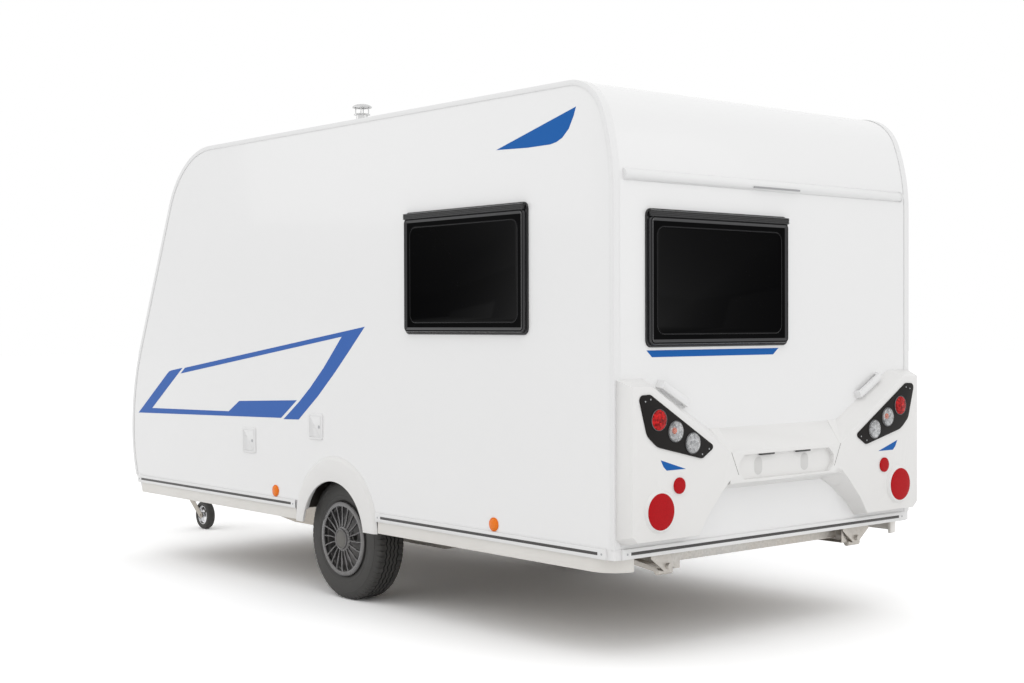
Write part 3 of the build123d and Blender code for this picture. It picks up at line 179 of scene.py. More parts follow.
# Big painted sheet: the same film, with the long shallow waves of a bonded skin in its gloss
def sheetMaterial(name, color, film):
    material, tree, shader = startMaterial(name,
                                           {"Roughness": 0.22, "Coat Weight": 0.35, "Coat Roughness": 0.06,
                                                  "IOR": 1.48})
    tint = addGroup(tree, filmGroup, {"Clean": (*color, 1), "Film": (0.50, 0.44, 0.37, 1), "Low": 0.35,
                                      "High": 1.4, "Amount": film})
    wave = addGroup(tree, grainGroup, {"Scale": 3.5, "Depth": 0.12, "Height": 0.004})
    feedShader(tree, shader, (tint, "Color"), (wave, "Normal"), (wave, "Mask"), 0.18, 0.30)
    return material


# Zinc coated steel: crystal spangle in colour and roughness; on the lamp bowls the light and dark cells are
# painted reflections
def galvanisedMaterial(name, light, dark, warm):
    material, tree, shader = startMaterial(name, {"Metallic": 0.85, "Roughness": 0.45})
    point = addNode(tree, "TexCoord")
    cells = addNode(tree, "TexVoronoi", {"Scale": 95.0})
    ramp = addNode(tree, "ValToRGB")
    ramp.color_ramp.elements[0].color = (*dark, 1)
    ramp.color_ramp.elements[1].color = (*light, 1)
    brown = addGroup(tree, filmGroup, {"Film": (*warm, 1), "Low": 0.2, "High": 0.9, "Amount": 0.75})
    fine = addGroup(tree, grainGroup, {"Scale": 260.0, "Depth": 0.2, "Height": 0.0006})
    join(tree, (point, "Object", cells, "Vector"), (cells, "Color", ramp, "Fac"),
         (ramp, "Color", brown, "Clean"))
    feedShader(tree, shader, (brown, "Color"), (fine, "Normal"), (cells, "Color"), 0.34, 0.58)
    return material


# Clear coloured plastic lens with a moulded grid on its back, and facets painted lighter and darker in its
# colour as highlights and shade
def lensMaterial(name, color, scale, transmission, specular=0.5, roughness=0.08, glintSpread=0.1):
    material, tree, shader = startMaterial(name, {"Roughness": roughness, "IOR": 1.49,
                                                  "Transmission Weight": transmission,
                                                  "Specular IOR Level": specular})
    point = addNode(tree, "TexCoord")
    cells = addNode(tree, "TexVoronoi")
    cells.feature = "DISTANCE_TO_EDGE"
    setValues(cells, {"Scale": scale})
    bump = addNode(tree, "Bump", {"Strength": 0.35, "Distance": 0.001})
    # Facets lighter and darker than the lens's colour are painted highlights and shade
    glintFacets = addNode(tree, "TexVoronoi", {"Scale": scale})
    tone = addNode(tree, "MixRGB", {"Color1": (*[part * (1 - glintSpread) for part in color], 1),
                                    "Color2": (*[min(1, part * (1 + glintSpread)) for part in color], 1)})
    join(tree, (point, "Object", cells, "Vector"), (point, "Object", glintFacets, "Vector"),
         (glintFacets, "Color", tone, "Fac"), (tone, "Color", shader, "Base Color"),
         (cells, "Distance", bump, "Height"), (bump, "Normal", shader, "Normal"))
    return material


# Bright metal with fine turning marks
def brightMaterial(name, color, roughness, scale):
    material, tree, shader = startMaterial(name, {"Metallic": 1.0})
    fine = addGroup(tree, grainGroup, {"Scale": scale, "Depth": 0.08, "Height": 0.0003})
    tone = addNode(tree, "MixRGB", {"Color1": (*[part * 0.9 for part in color], 1), "Color2": (*color, 1)})
    join(tree, (fine, "Mask", tone, "Fac"))
    feedShader(tree, shader, (tone, "Color"), (fine, "Normal"), (fine, "Mask"), roughness * 0.7,
               roughness * 1.4)
    return material


# Tyre rubber: dull, a little paler where it is scuffed, with a fine ribbed bump on the side
def rubberMaterial(name, color):
    material, tree, shader = startMaterial(name, {"IOR": 1.5})
    tint = addGroup(tree, filmGroup, {"Clean": (*color, 1), "Film": (0.15, 0.13, 0.11, 1), "Low": -0.2,
                                      "High": 0.9, "Amount": 0.13})
    fine = addGroup(tree, grainGroup, {"Scale": 420.0, "Depth": 0.25, "Height": 0.0005})
    feedShader(tree, shader, (tint, "Color"), (fine, "Normal"), (fine, "Mask"), 0.55, 0.78)
    return material


gloss = {"Coat Weight": 0.5, "Coat Roughness": 0.05, "IOR": 1.48}
satin = {"Coat Weight": 0.12, "Coat Roughness": 0.25, "IOR": 1.48}
matt = {"IOR": 1.45}
moulded = {"Scale": 650.0, "Depth": 0.12, "Height": 0.0003}
coarse = {"Scale": 260.0, "Depth": 0.35, "Height": 0.0006}

# Filmed finishes as (colour, roughness, other values, film, grain)
filmedFinishes = {
    "skirtSheet": ((0.79, 0.775, 0.745), 0.34, satin, 0.30),
    "railWhite": ((0.80, 0.80, 0.80), 0.30, satin, 0.10, moulded),
    "mouldedWhite": ((0.80, 0.795, 0.785), 0.30, satin, 0.16, moulded),
    "domeMilk": ((0.74, 0.75, 0.75), 0.28, gloss, 0.0, moulded),
    "frameBlack": ((0.008, 0.008, 0.009), 0.20, {"Specular IOR Level": 0.45}, 0.0, moulded),
    "smokedPane": ((0.001, 0.001, 0.0012), 0.07, {"Specular IOR Level": 0.02}, 0.0,
                   {"Scale": 2.6, "Depth": 0.10, "Height": 0.003}),
    # The pane's sloping edges are coloured lighter than the pane as a painted highlight; their stronger gloss
    # is real
    "paneEdgeHighlight": ((0.010, 0.010, 0.012), 0.12, {"Specular IOR Level": 0.5}, 0.0, moulded),
    "insertBlack": ((0.018, 0.018, 0.02), 0.42, satin, 0.12, moulded),
    "wheelhouse": ((0.010, 0.010, 0.010), 0.7, matt, 0.25, coarse),
    "gripBlack": ((0.02, 0.02, 0.02), 0.5, matt, 0.12, coarse),
    "castBlack": ((0.03, 0.03, 0.032), 0.45, satin, 0.2, coarse),
    "bellows": ((0.015, 0.015, 0.015), 0.55, matt, 0.15, moulded),
    # The rim's silver is coloured dark grey as painted shade behind the trim's spokes
    "rimShadedSilver": ((0.11, 0.11, 0.115), 0.30, {"Metallic": 0.5}, 0.2),
    "trimGrey": ((0.125, 0.125, 0.13), 0.24, {"Metallic": 0.6, "Coat Weight": 0.3}, 0.15, moulded),
    "capGrey": ((0.10, 0.098, 0.092), 0.35, {"Metallic": 0.4}, 0.1, moulded),
    "forkGrey": ((0.42, 0.39, 0.35), 0.42, {"Metallic": 0.6}, 0.3, coarse),
    "plyFloor": ((0.20, 0.17, 0.14), 0.6, matt, 0.4, coarse),
    "lampBase": ((0.010, 0.0085, 0.008), 0.45, {"Specular IOR Level": 0.12}, 0.02, moulded),
    "decalBlue": ((0.0075, 0.112, 0.402), 0.30, {"Specular IOR Level": 0.1}, 0.03),
    "decalPale": ((0.042, 0.133, 0.445), 0.30, {"Specular IOR Level": 0.1}, 0.03),
    "lockGrey": ((0.45, 0.46, 0.47), 0.35, satin, 0.05, moulded),
    "lampRim": ((0.16, 0.16, 0.165), 0.30, {"Metallic": 0.6}, 0.0, moulded),
    "highLampGrey": ((0.33, 0.33, 0.34), 0.30, satin, 0.0, moulded),
    # Grey discs painted as the shade of the plate recess's two shallow dimples
    "dimpleShadeGrey": ((0.66, 0.655, 0.645), 0.35, satin, 0.1, moulded),
    # Groove floors of the tyres, coloured darker than the rubber as painted shade
    "grooveShadeBlack": ((0.006, 0.006, 0.006), 0.8, matt, 0.0, coarse),
    "plateLamp": ((0.02, 0.02, 0.02), 0.3, satin, 0.1, moulded),
    "seamGrey": ((0.16, 0.15, 0.14), 0.6, matt, 0.2, moulded),
}
# Lenses as (colour, grid's scale, transmission, specular, roughness, spread of the facets' painted highlight
# and shade)
lensFinishes = {
    # The red lenses' wide facet spread paints their highlights
    "redLens": ((0.42, 0.009, 0.010), 110.0, 0.0, 0.12, 0.06, 0.75),
    "reflexRed": ((0.44, 0.009, 0.013), 260.0, 0.0, 0.06, 0.2),
    "amberLens": ((0.86, 0.20, 0.012), 260.0, 0.0, 0.2, 0.12),
    "clearLens": ((0.97, 0.98, 0.98), 60.0, 0.95),
    "amberBulb": ((0.88, 0.12, 0.008), 60.0, 0.0, 0.2),
}
metalFinishes = {
    "galvanised": (galvanisedMaterial, (0.62, 0.62, 0.61), (0.45, 0.45, 0.44), (0.46, 0.36, 0.25)),
    # On the lamp bowls the white and dark grey cells are painted reflections, not spangle
    "bowlPaintedReflection": (galvanisedMaterial, (0.92, 0.92, 0.93), (0.09, 0.09, 0.10), (0.5, 0.5, 0.5)),
    "brightSteel": (brightMaterial, (0.68, 0.68, 0.68), 0.22, 300.0),
    "chrome": (brightMaterial, (0.80, 0.80, 0.81), 0.07, 120.0),
}
materials = {"bodySheet": sheetMaterial("bodySheet", (0.83, 0.83, 0.83), 0.07),
             "tyreRubber": rubberMaterial("tyreRubber", (0.040, 0.039, 0.037))}
for name, values in filmedFinishes.items():
    materials[name] = filmedMaterial(name, *values)
for name, values in lensFinishes.items():
    materials[name] = lensMaterial(name, *values)
for name, (make, *values) in metalFinishes.items():
    materials[name] = make(name, *values)
print("stage: materials made")


# Carried-over CAD nodes by their finish and how far their edges are eased, in millimetres
nodeFinish = {
    ("bodySheet", 0): "wall_left wall_right wall_rear roof_panel front_panel",
    ("bodySheet", 1.5): "entrance_door service_door locker_lid",
    ("skirtSheet", 1.5): "skirts",
    ("railWhite", 0.6): "hinges",
    ("railWhite", 1.0): "rear_seam_cover",
    ("railWhite", 1.5): "edge_rails sill_rails",
    ("railWhite", 2.0): "grab_handles fridge_vents",
    ("railWhite", 2.5): "service_flaps",
    ("mouldedWhite", 2.5): "arch_mouldings",
    ("mouldedWhite", 4.0): "rear_moulding",
    ("domeMilk", 4.0): "rooflights",
    ("frameBlack", 2.0): "window_frames door_fittings",
    ("smokedPane", 0): "door_pane",
    ("smokedPane", 2.0): "window_panes",
    ("insertBlack", 1.0): "sill_inserts",
    ("wheelhouse", 0): "wheel_boxes",
    ("plyFloor", 0): "floor_panel gas_locker",
    ("galvanised", 0.6): "jockey_inner_tube",
    ("galvanised", 0.8): "jockey_mast steady_frames",
    ("galvanised", 1.0): "chassis_members axle_beam steady_leg_front_left steady_leg_front_right"
                         " steady_leg_rear_left steady_leg_rear_right",
    ("galvanised", 2.0): "jockey_clamp",
    ("galvanised", 3.0): "cross_members trailing_arms",
    ("galvanised", 4.0): "drawbars overrun_housing",
    ("brightSteel", 1.0): "flue_cowl",
    ("chrome", 0.8): "jockey_rim",
    ("forkGrey", 1.2): "jockey_fork",
    ("castBlack", 4.0): "coupling_head",
    ("gripBlack", 3.0): "coupling_handle brake_lever",
    ("bellows", 1.5): "gaiter",
    ("tyreRubber", 2.0): "tyre_left tyre_right",
    ("tyreRubber", 3.0): "jockey_tyre",
    # Rims: dark grey as painted shade behind the spokes
    ("rimShadedSilver", 1.0): "rim_left rim_right",
    ("trimGrey", 0.8): "wheel_trim_left wheel_trim_right",
    ("lampBase", 2.0): "lamp_panels",
    ("redLens", 3.0): "rear_lamps",
    ("reflexRed", 2.0): "rear_reflectors",
    ("amberLens", 3.0): "side_markers",
}
# How near points merge in a node and in a form, in millimetres, and the angles of edges to ease or split
easing = {"weld": 0.02, "merge": 0.005, "segments": 3, "sharp": 28, "split": 25}


# Merges a CAD node's loose triangles, eases its sharp edges and smooths what is round, as modifiers
def easeNode(name, finish, ease):
    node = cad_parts[name]
    node.data.materials.clear()
    node.data.materials.append(materials[finish])
    node.data.polygons.foreach_set("use_smooth", [True] * len(node.data.polygons))
    weld = node.modifiers.new("weld", "WELD")
    weld.merge_threshold = easing["weld"] * mm
    if ease:
        bevel = node.modifiers.new("ease", "BEVEL")
        bevel.width = ease * mm
        bevel.segments = easing["segments"]
        bevel.limit_method = "ANGLE"
        bevel.angle_limit = math.radians(easing["sharp"])
        bevel.harden_normals = True
        bevel.use_clamp_overlap = True
    else:
        split = node.modifiers.new("split", "EDGE_SPLIT")
        split.split_angle = math.radians(easing["split"])


for (finish, ease), nodeNames in nodeFinish.items():
    for nodeName in nodeNames.split():
        easeNode(nodeName, finish, ease)
print("stage: frame nodes finished")


# Mesh helpers: each form is painted with a finish number as it grows
def newForm():
    form = bmesh.new()
    form.faces.layers.int.new("done")
    return form


def paint(form, index):
    done = form.faces.layers.int["done"]
    for face in form.faces:
        if not face[done]:
            face.material_index = index
            face[done] = 1


def inMetres(points):
    return [tuple(value * mm for value in point) for point in points]


def easeEdges(form, edges, ease, segments):
    bmesh.ops.bevel(form, geom=edges, offset=ease, offset_type="OFFSET", affect="EDGES", segments=segments,
                    profile=0.5, material=-1)


def addBox(form, low, high, ease=0, segments=2):
    made = bmesh.ops.create_cube(form, size=1.0)["verts"]
    low, high = Vector(low), Vector(high)
    bmesh.ops.scale(form, vec=high - low, verts=made)
    bmesh.ops.translate(form, vec=(low + high) / 2, verts=made)
    if ease:
        easeEdges(form, list({edge for vert in made for edge in vert.link_edges}), ease, segments)


def addRod(form, start, end, radius, endRadius=None, steps=24):
    start, end = Vector(start), Vector(end)
    axis = end - start
    turn = axis.to_track_quat("Z", "Y").to_matrix().to_4x4()
    bmesh.ops.create_cone(form, cap_ends=True, segments=steps, radius1=radius, radius2=endRadius or radius,
                          depth=axis.length, matrix=Matrix.Translation((start + end) / 2) @ turn)


# Turns an outline of (radius, distance along the axis), in millimetres, once round the axis
def addTurned(form, outline, centre, axis, steps=48, closed=True):
    axis = Vector(axis).normalized()
    across = axis.orthogonal().normalized()
    verts = [form.verts.new(Vector(centre) + across * radius + axis * along)
             for radius, along in inMetres(outline)]
    pairs = list(zip(verts, verts[1:])) + ([(verts[-1], verts[0])] if closed else [])
    edges = [form.edges.new(pair) for pair in pairs]
    bmesh.ops.spin(form, geom=verts + edges, cent=centre, axis=axis, dvec=(0, 0, 0), angle=2 * math.pi,
                   steps=steps, use_merge=True, use_duplicate=False)


# A flat outline of (across, up) made solid between two distances along the normal; returns its far face
def addPlate(form, outline, basis, near, far, ease=0, segments=2):
    origin, across, up, normal = basis
    verts = [form.verts.new(origin + across * u + up * v + normal * near) for u, v in outline]
    face = form.faces.new(verts)
    made = bmesh.ops.extrude_face_region(form, geom=[face])["geom"]
    moved = [part for part in made if isinstance(part, bmesh.types.BMVert)]
    top = [part for part in made if isinstance(part, bmesh.types.BMFace)][0]
    bmesh.ops.translate(form, vec=normal * (far - near), verts=moved)
    if ease:
        easeEdges(form, list(top.edges), ease, segments)
    return top


# Steps a face inwards and outwards, each step as (inward, outward) in millimetres
def addSteps(form, face, steps):
    for inward, outward in inMetres(steps):
        bmesh.ops.inset_region(form, faces=[face], thickness=inward, depth=outward, use_even_offset=True,
                               use_boundary=True)


# Rounds the corners of an outline whose points are (across, up, radius)
def roundedOutline(points, steps=6):
    result = []
    for index, (u, v, radius) in enumerate(points):
        here = Vector((u, v))
        before = Vector(points[index - 1][:2]) - here
        after = Vector(points[(index + 1) % len(points)][:2]) - here
        half = before.angle(after) / 2
        reach = min(radius / math.tan(half), before.length * 0.48, after.length * 0.48)
        middle = here + (before.normalized() + after.normalized()).normalized() * (reach / math.cos(half))
        start = here + before.normalized() * reach - middle
        end = here + after.normalized() * reach - middle
        result += [tuple(middle + start.lerp(end, step / steps).normalized() * start.length)
                   for step in range(steps + 1)]
    return result


def roundedRect(width, tall, radius, steps=6):
    corners = ((1, 1, 0), (-1, 1, 90), (-1, -1, 180), (1, -1, 270))
    points = []
    for signU, signV, start in corners:
        for index in range(steps + 1):
            angle = math.radians(start + 90 * index / steps)
            points.append((signU * (width / 2 - radius) + radius * math.cos(angle),
                           signV * (tall / 2 - radius) + radius * math.sin(angle)))
    return points


# A plane on the vehicle: origin, across, up, outward
def basisOn(origin, normal, up=(0, 0, 1)):
    normal = Vector(normal).normalized()
    across = Vector(up).cross(normal).normalized()
    return Vector(origin), across, normal.cross(across), normal


# The same on the rear, with across pointing left, or right where side is -1
def rearBasis(side=1, offset=0, height=0):
    return at(0, offset, height), Vector((0, side, 0)), Vector((0, 0, 1)), Vector((-1, 0, 0))


# Closes a form and makes it a piece that rides on a body
def finishPiece(name, form, finishes, body, stands=(), sharp=30):
    bmesh.ops.remove_doubles(form, verts=form.verts, dist=easing["merge"] * mm)
    bmesh.ops.recalc_face_normals(form, faces=form.faces)
    for face in form.faces:
        face.smooth = True
    for edge in form.edges:
        edge.smooth = not edge.is_manifold or edge.calc_face_angle(0) < math.radians(sharp)
    mesh = bpy.data.meshes.new(name)
    form.to_mesh(mesh)
    form.free()
    for finish in finishes:
        mesh.materials.append(materials[finish])
    piece = bpy.data.objects.new(name, mesh)
    bpy.context.scene.collection.objects.link(piece)
    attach(piece, body)
    if stands:
        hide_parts(*stands)
    return piece


sides = {"left": 1, "right": -1}

# Road tyres: grooved tread with zigzag edges, notched shoulders and ribbed sidewalls; the groove floors are
# coloured darker as painted shade
tyre = {"steps": 384, "zigzags": 48, "zigzag": 4.2, "groove": (-36.0, -12.0, 12.0, 36.0), "grooveHalf": 3.1,
        "grooveDepth": 9.0, "grooveTaper": 1, "crown": 325.0, "treadFrom": 310, "treadHalf": 42,
        "notchEvery": 6, "notchDepth": 5.0, "notchFrom": 50.0, "notchLow": 308, "floorRise": 3,
        "floorHalf": 45}
# One half of the tyre's section as (radius, side offset), from the bead out to the tread
tyreHalf = ((178.3, 66.0), (191.5, 71.0), (196.0, 77.0), (203.0, 80.5), (206.0, 84.5), (214.0, 88.0),
            (226.0, 90.8), (227.5, 92.0), (231.0, 92.2), (232.5, 91.4), (250.0, 92.4), (268.0, 92.0),
            (283.0, 90.4), (284.5, 91.4), (288.0, 90.6), (289.5, 88.6), (300.0, 85.6), (309.0, 82.0),
            (316.0, 78.0), (321.0, 72.5), (324.2, 66.0), (325.0, 58.0), (325.0, 50.0))


def makeTyre(sideName):
    half, crown, taper = tyre["grooveHalf"], tyre["crown"], tyre["grooveTaper"]
    floor = crown - tyre["grooveDepth"]
    tread = []
    for middle in tyre["groove"]:
        tread += [(crown, middle - half), (floor, middle - half + taper), (floor, middle + half - taper),
                  (crown, middle + half)]
    outline = [(r, -y) for r, y in tyreHalf] + tread + [(r, y) for r, y in reversed(tyreHalf)]
    centre = Vector((wheelCentre.x, sides[sideName] * wheelCentre.y, wheelCentre.z))
    form = newForm()
    addTurned(form, outline, centre, (0, 1, 0), tyre["steps"])
    for vert in form.verts:
        offset = vert.co - centre
        radius = math.hypot(offset.x, offset.z)
        turn = math.atan2(offset.z, offset.x) / (2 * math.pi) % 1.0
        phase = turn * tyre["zigzags"] % 1.0
        if radius > tyre["treadFrom"] * mm and abs(offset.y) < tyre["treadHalf"] * mm:
            vert.co.y += tyre["zigzag"] * mm * (abs(phase * 4 - 2) - 1)
        notched = round(turn * tyre["steps"]) % tyre["notchEvery"] == 0
        if notched and radius > tyre["notchLow"] * mm and abs(offset.y) >= tyre["notchFrom"] * mm:
            scale = 1 - tyre["notchDepth"] * mm / radius
            vert.co = centre + Vector((offset.x * scale, offset.y, offset.z * scale))
    # Groove floors take the darker black: painted shade in the grooves
    for face in form.faces:
        offset = face.calc_center_median() - centre
        low = math.hypot(offset.x, offset.z) < (crown - tyre["floorRise"]) * mm
        face.material_index = int(low and abs(offset.y) < tyre["floorHalf"] * mm)
    finishPiece("tyre_" + sideName + "_treaded", form, ["tyreRubber", "grooveShadeBlack"], "wheel_" + sideName,
                ["tyre_" + sideName], sharp=24)


for sideName in sides:
    makeTyre(sideName)
print("stage: tyres made")


# Spoked wheel trims with a domed cap in a bright ring
trim = {"face": 1000.0, "spokes": 20, "spokeIn": 58.0, "spokeOut": 178.0, "halfIn": 3.4, "halfOut": 5.0,
        "bow": 4.0, "spans": 5, "sink": 0.24}
# A spoke's section as (share of its half width, height)
spokeSection = ((-1, -9.0), (1, -9.0), (1, -2.2), (0.55, 0.6), (0.2, 1.6), (-0.2, 1.6), (-0.55, 0.6),
                (-1, -2.2))
trimRing = ((176, -12), (174, -3), (175.5, -0.8), (179, 0.4), (189, 0.4), (196, -1.5), (199.6, -6),
            (200, -11), (200, -18), (197, -18), (194, -12))
trimHub = ((0, -12), (68, -12), (68, -5), (64, -0.5), (60, 1.6), (56.5, 2.2), (55.5, 1.0), (0, 1.0))
capRing = ((46.5, 0.5), (55.5, 0.5), (55.3, 7.0), (53.6, 9.8), (51.5, 10.8), (49.4, 10.0), (47.6, 7.8),
           (46.5, 6.0))
capDisc = ((0, 1.0), (46.5, 1.0), (46.5, 6.2), (43.0, 7.6), (30, 8.6), (14, 9.2), (0, 9.4))


def makeTrim(sideName):
    axis = Vector((0, sides[sideName], 0))
    centre = Vector((wheelCentre.x, axis.y * trim["face"] * mm, wheelCentre.z))
    form = newForm()
    addTurned(form, trimRing, centre, axis, 96)
    addTurned(form, trimHub, centre, axis, 72, closed=False)
    halfIn, halfOut = trim["halfIn"] * mm, trim["halfOut"] * mm
    stride = (trim["spokeOut"] - trim["spokeIn"]) * mm / trim["spans"]
    for index in range(trim["spokes"]):
        turn = Matrix.Rotation(2 * math.pi * index / trim["spokes"], 3, "Y")
        out, along = turn @ Vector((1, 0, 0)), turn @ Vector((0, 0, 1))
        foot = centre + out * trim["spokeIn"] * mm
        face = form.faces.new([form.verts.new(foot + along * u * halfIn + axis * (h * mm))
                               for u, h in spokeSection])
        for span in range(trim["spans"]):
            made = bmesh.ops.extrude_face_region(form, geom=[face])["geom"]
            face = [part for part in made if isinstance(part, bmesh.types.BMFace)][0]
            before, after = (math.sin(math.pi * share / trim["spans"]) for share in (span, span + 1))
            slide = along * (after - before) * trim["bow"] * mm
            grow = 1 + (halfOut / halfIn - 1) / (trim["spans"] + (halfOut / halfIn - 1) * span)
            middle = face.calc_center_median()
            for vert in face.verts:
                across = (vert.co - middle).dot(along)
                vert.co += out * stride + slide + along * across * (grow - 1) - axis * trim["sink"] * mm
    paint(form, 0)
    addTurned(form, capRing, centre, axis, 72)
    paint(form, 1)
    addTurned(form, capDisc, centre, axis, 72, closed=False)
    paint(form, 2)
    finishPiece("wheel_trim_" + sideName + "_spoked", form, ["trimGrey", "trimGrey", "capGrey"],
                "wheel_" + sideName, ["wheel_trim_" + sideName])


for sideName in sides:
    makeTrim(sideName)
print("stage: wheel trims made")


# Windows: a moulded frame, a hinge profile with ribs along the top and a smoked pane with a raised border
frontSlope = math.radians(24.6)
windowPlaces = {
    "left": {"at": (1021, wallSide, 1727), "normal": (0, 1, 0), "wide": 938, "tall": 606, "body": "body"},
    "right": {"at": (1900, -wallSide, 1727), "normal": (0, -1, 0), "wide": 800, "tall": 606, "body": "body"},
    "rear": {"at": (0, 387, 1673.5), "normal": (-1, 0, 0), "wide": 949, "tall": 606, "body": "body"},
    "front": {"at": (4172.5, 0, 1765), "normal": (math.cos(frontSlope), 0, math.sin(frontSlope)),
              "wide": 1500, "tall": 560, "body": "body"},
    "door": {"at": (2900, -wallSide, 1690), "normal": (0, -1, 0), "wide": 330, "tall": 560, "body": "door"},
}
window = {"corner": 32.0, "liner": 32.0, "proud": 5, "linerFront": 5.2, "paneInset": 10.0, "paneCorner": 27.0,
          "paneDrop": 20.0, "paneBack": 9.3, "paneFront": 14, "hingeTall": 34.0, "hingeRise": 26.0,
          "hingeDrop": 5, "hingeFoot": 6, "hingeSlope": 2, "hingeInset": 12, "ribs": 4, "ribPitch": 7.0,
          "ribFirst": 4, "bondInset": 46.0, "bondCorner": 44.0, "bondSink": 2, "bondProud": 0.3,
          "flatFrom": 0.985}
# One rib of the hinge profile as (up, outward)
ribSteps = ((0, 0), (-4, 0), (-5, -3), (-6, -3))
# Steps across the frame and across the pane's rolled edge, as (inward, outward)
frameSteps = ((1.2, 2.4), (2.0, 1.6), (5.0, 0.2), (1.5, -2.0), (1.5, 0), (1.5, 2.0), (7.0, 0), (2.0, -4.0),
              (6.0, 0))
paneSteps = ((1.0, 4.0), (2.0, 3.0), (3.5, 1.8), (5.0, 0.4), (3.5, -0.8), (3.5, -2.2), (3.5, -1.6),
             (2.0, -0.4))
bondSteps = ((0.8, 0.5), (2.2, 0), (0.8, -0.5))


def makeWindowFrame(windowName, place, basis, stands):
    wide, tall = place["wide"] * mm, place["tall"] * mm
    form = newForm()
    face = addPlate(form, roundedRect(wide, tall, window["corner"] * mm), basis, -window["liner"] * mm,
                    window["proud"] * mm)
    addSteps(form, face, frameSteps)
    bmesh.ops.delete(form, geom=[face], context="FACES")
    rim = [edge for edge in form.edges if edge.is_boundary]
    inner = bmesh.ops.extrude_edge_only(form, edges=rim)["geom"]
    bmesh.ops.translate(form, vec=-basis[3] * (window["liner"] + window["linerFront"]) * mm,
                        verts=[part for part in inner if isinstance(part, bmesh.types.BMVert)])
    rise, foot = window["hingeRise"] * mm, window["hingeFoot"] * mm
    top = tall / 2 - window["hingeDrop"] * mm
    ribbed = [(top, foot), (top - window["hingeSlope"] * mm, rise - foot)]
    for index in range(window["ribs"]):
        high = top - (window["ribFirst"] + index * window["ribPitch"]) * mm
        ribbed += [(high + up * mm, rise + outward * mm) for up, outward in ribSteps]
    ribbed += [(top - (window["hingeTall"] - 1) * mm, foot)]
    ends = wide / 2 - window["hingeInset"] * mm
    addPlate(form, ribbed, (basis[0] - basis[1] * ends, basis[2], basis[3], basis[1]), 0, 2 * ends)
    paint(form, 0)
    finishPiece("window_" + windowName + "_frame", form, ["frameBlack"], place["body"], stands)


def makeWindowPane(windowName, place, basis, stands):
    wide = (place["wide"] - 2 * window["paneInset"]) * mm
    tall = (place["tall"] - 2 * window["paneInset"] - window["paneDrop"]) * mm
    dropped = (basis[0] - basis[2] * window["paneDrop"] / 2 * mm, basis[1], basis[2], basis[3])
    form = newForm()
    face = addPlate(form, roundedRect(wide, tall, window["paneCorner"] * mm, 10), dropped,
                    window["paneBack"] * mm, window["paneFront"] * mm)
    addSteps(form, face, paneSteps)
    depth = (window["paneFront"] + sum(outward for inward, outward in paneSteps)) * mm
    inset = 2 * window["bondInset"] * mm
    bond = roundedRect(wide - inset, tall - inset, window["bondCorner"] * mm, 10)
    face = addPlate(form, bond, dropped, depth - window["bondSink"] * mm, depth + window["bondProud"] * mm)
    addSteps(form, face, bondSteps)
    paint(form, 0)
    form.normal_update()
    # Faces that do not face straight out take the lighter edge colour: painted highlight on the rolled edge
    for face in form.faces:
        face.material_index = 1 if face.normal.dot(basis[3]) < window["flatFrom"] else 0
    finishPiece("window_" + windowName + "_pane", form, ["smokedPane", "paneEdgeHighlight"], place["body"],
                stands, sharp=40)


def makeWindow(windowName, place):
    basis = basisOn(at(*place["at"]), place["normal"])
    stands = ("door_fittings", "door_pane") if windowName == "door" else ("window_frames", "window_panes")
    makeWindowFrame(windowName, place, basis, stands[:1])
    makeWindowPane(windowName, place, basis, stands[1:])


for windowName, place in windowPlaces.items():
    makeWindow(windowName, place)
print("stage: windows made")


# Door grip and its lock, which stand for the rest of the door's fittings
grip = {"stations": (2630, 2670), "heights": (1180, 1330), "faces": (-1084, -1071, -1049), "foot": 24,
        "ease": 5, "lock": (2650, 1150), "lockFaces": (-1049, -1056), "lockRadii": (14, 13)}


def makeGrip():
    form = newForm()
    (rear, front), (low, high), (outer, inner, wall) = grip["stations"], grip["heights"], grip["faces"]
    for bottom, top, back in ((low, high, inner), (low, low + grip["foot"], wall),
                              (high - grip["foot"], high, wall)):
        addBox(form, at(rear, outer, bottom), at(front, back, top), grip["ease"] * mm, 3)
    station, height = grip["lock"]
    start, end = (at(station, face, height) for face in grip["lockFaces"])
    addRod(form, start, end, *(radius * mm for radius in grip["lockRadii"]), 32)
    paint(form, 0)
    finishPiece("door_grip", form, ["gripBlack"], "door", ["door_fittings"])


makeGrip()


# Rear lamps on their dark panels, as (side offset, height, kind)
lampPlaces = ((865, 1060, "red"), (761, 1006, "amber"), (653.5, 950, "clear"))
lampSeat = -86
lampRim = ((47.4, 0), (47.4, 2.6), (46.8, 3.6), (46.0, 4.0), (45.1, 3.4), (44.7, 2.4), (44.7, 0))
redDome = ((0, 9.8), (11, 9.6), (12, 8.9), (13, 9.4), (22, 8.6), (23, 7.9), (24, 8.3), (33, 6.7), (34, 6.0),
           (35, 6.3), (41.5, 4.2), (44.4, 2.2), (44.5, 0.2), (0, 0.2))
clearDome = ((0, 9.8), (14, 9.6), (27, 8.8), (37, 7.2), (42.5, 5.2), (44.4, 3.2), (43.6, 2.8), (36, 6.0),
             (26, 7.6), (13, 8.4), (0, 8.6))
lampBowl = ((44.6, 3.0), (41, 0.9), (40, 2.6), (36, 0.8), (35, 2.4), (30, 0.7), (29, 2.2), (23, 0.7),
            (22, 2.0), (15, 0.6), (14, 1.8), (0, 0.6))
lampBulb = ((0, 7.8), (6, 7.4), (11, 6.0), (14, 3.4), (14.6, 0.6))
lampPanel = ((986, 1168, 22), (915, 1171, 30), (508, 927, 14), (590, 878, 26), (872, 943, 110),
             (934, 994, 60))
panelScrews = ((947, 1142), (915, 1150), (548, 919), (592, 898))
highLamp = {"from": (-20, -165, 2099.5), "to": (-12, 165, 2107.5)}
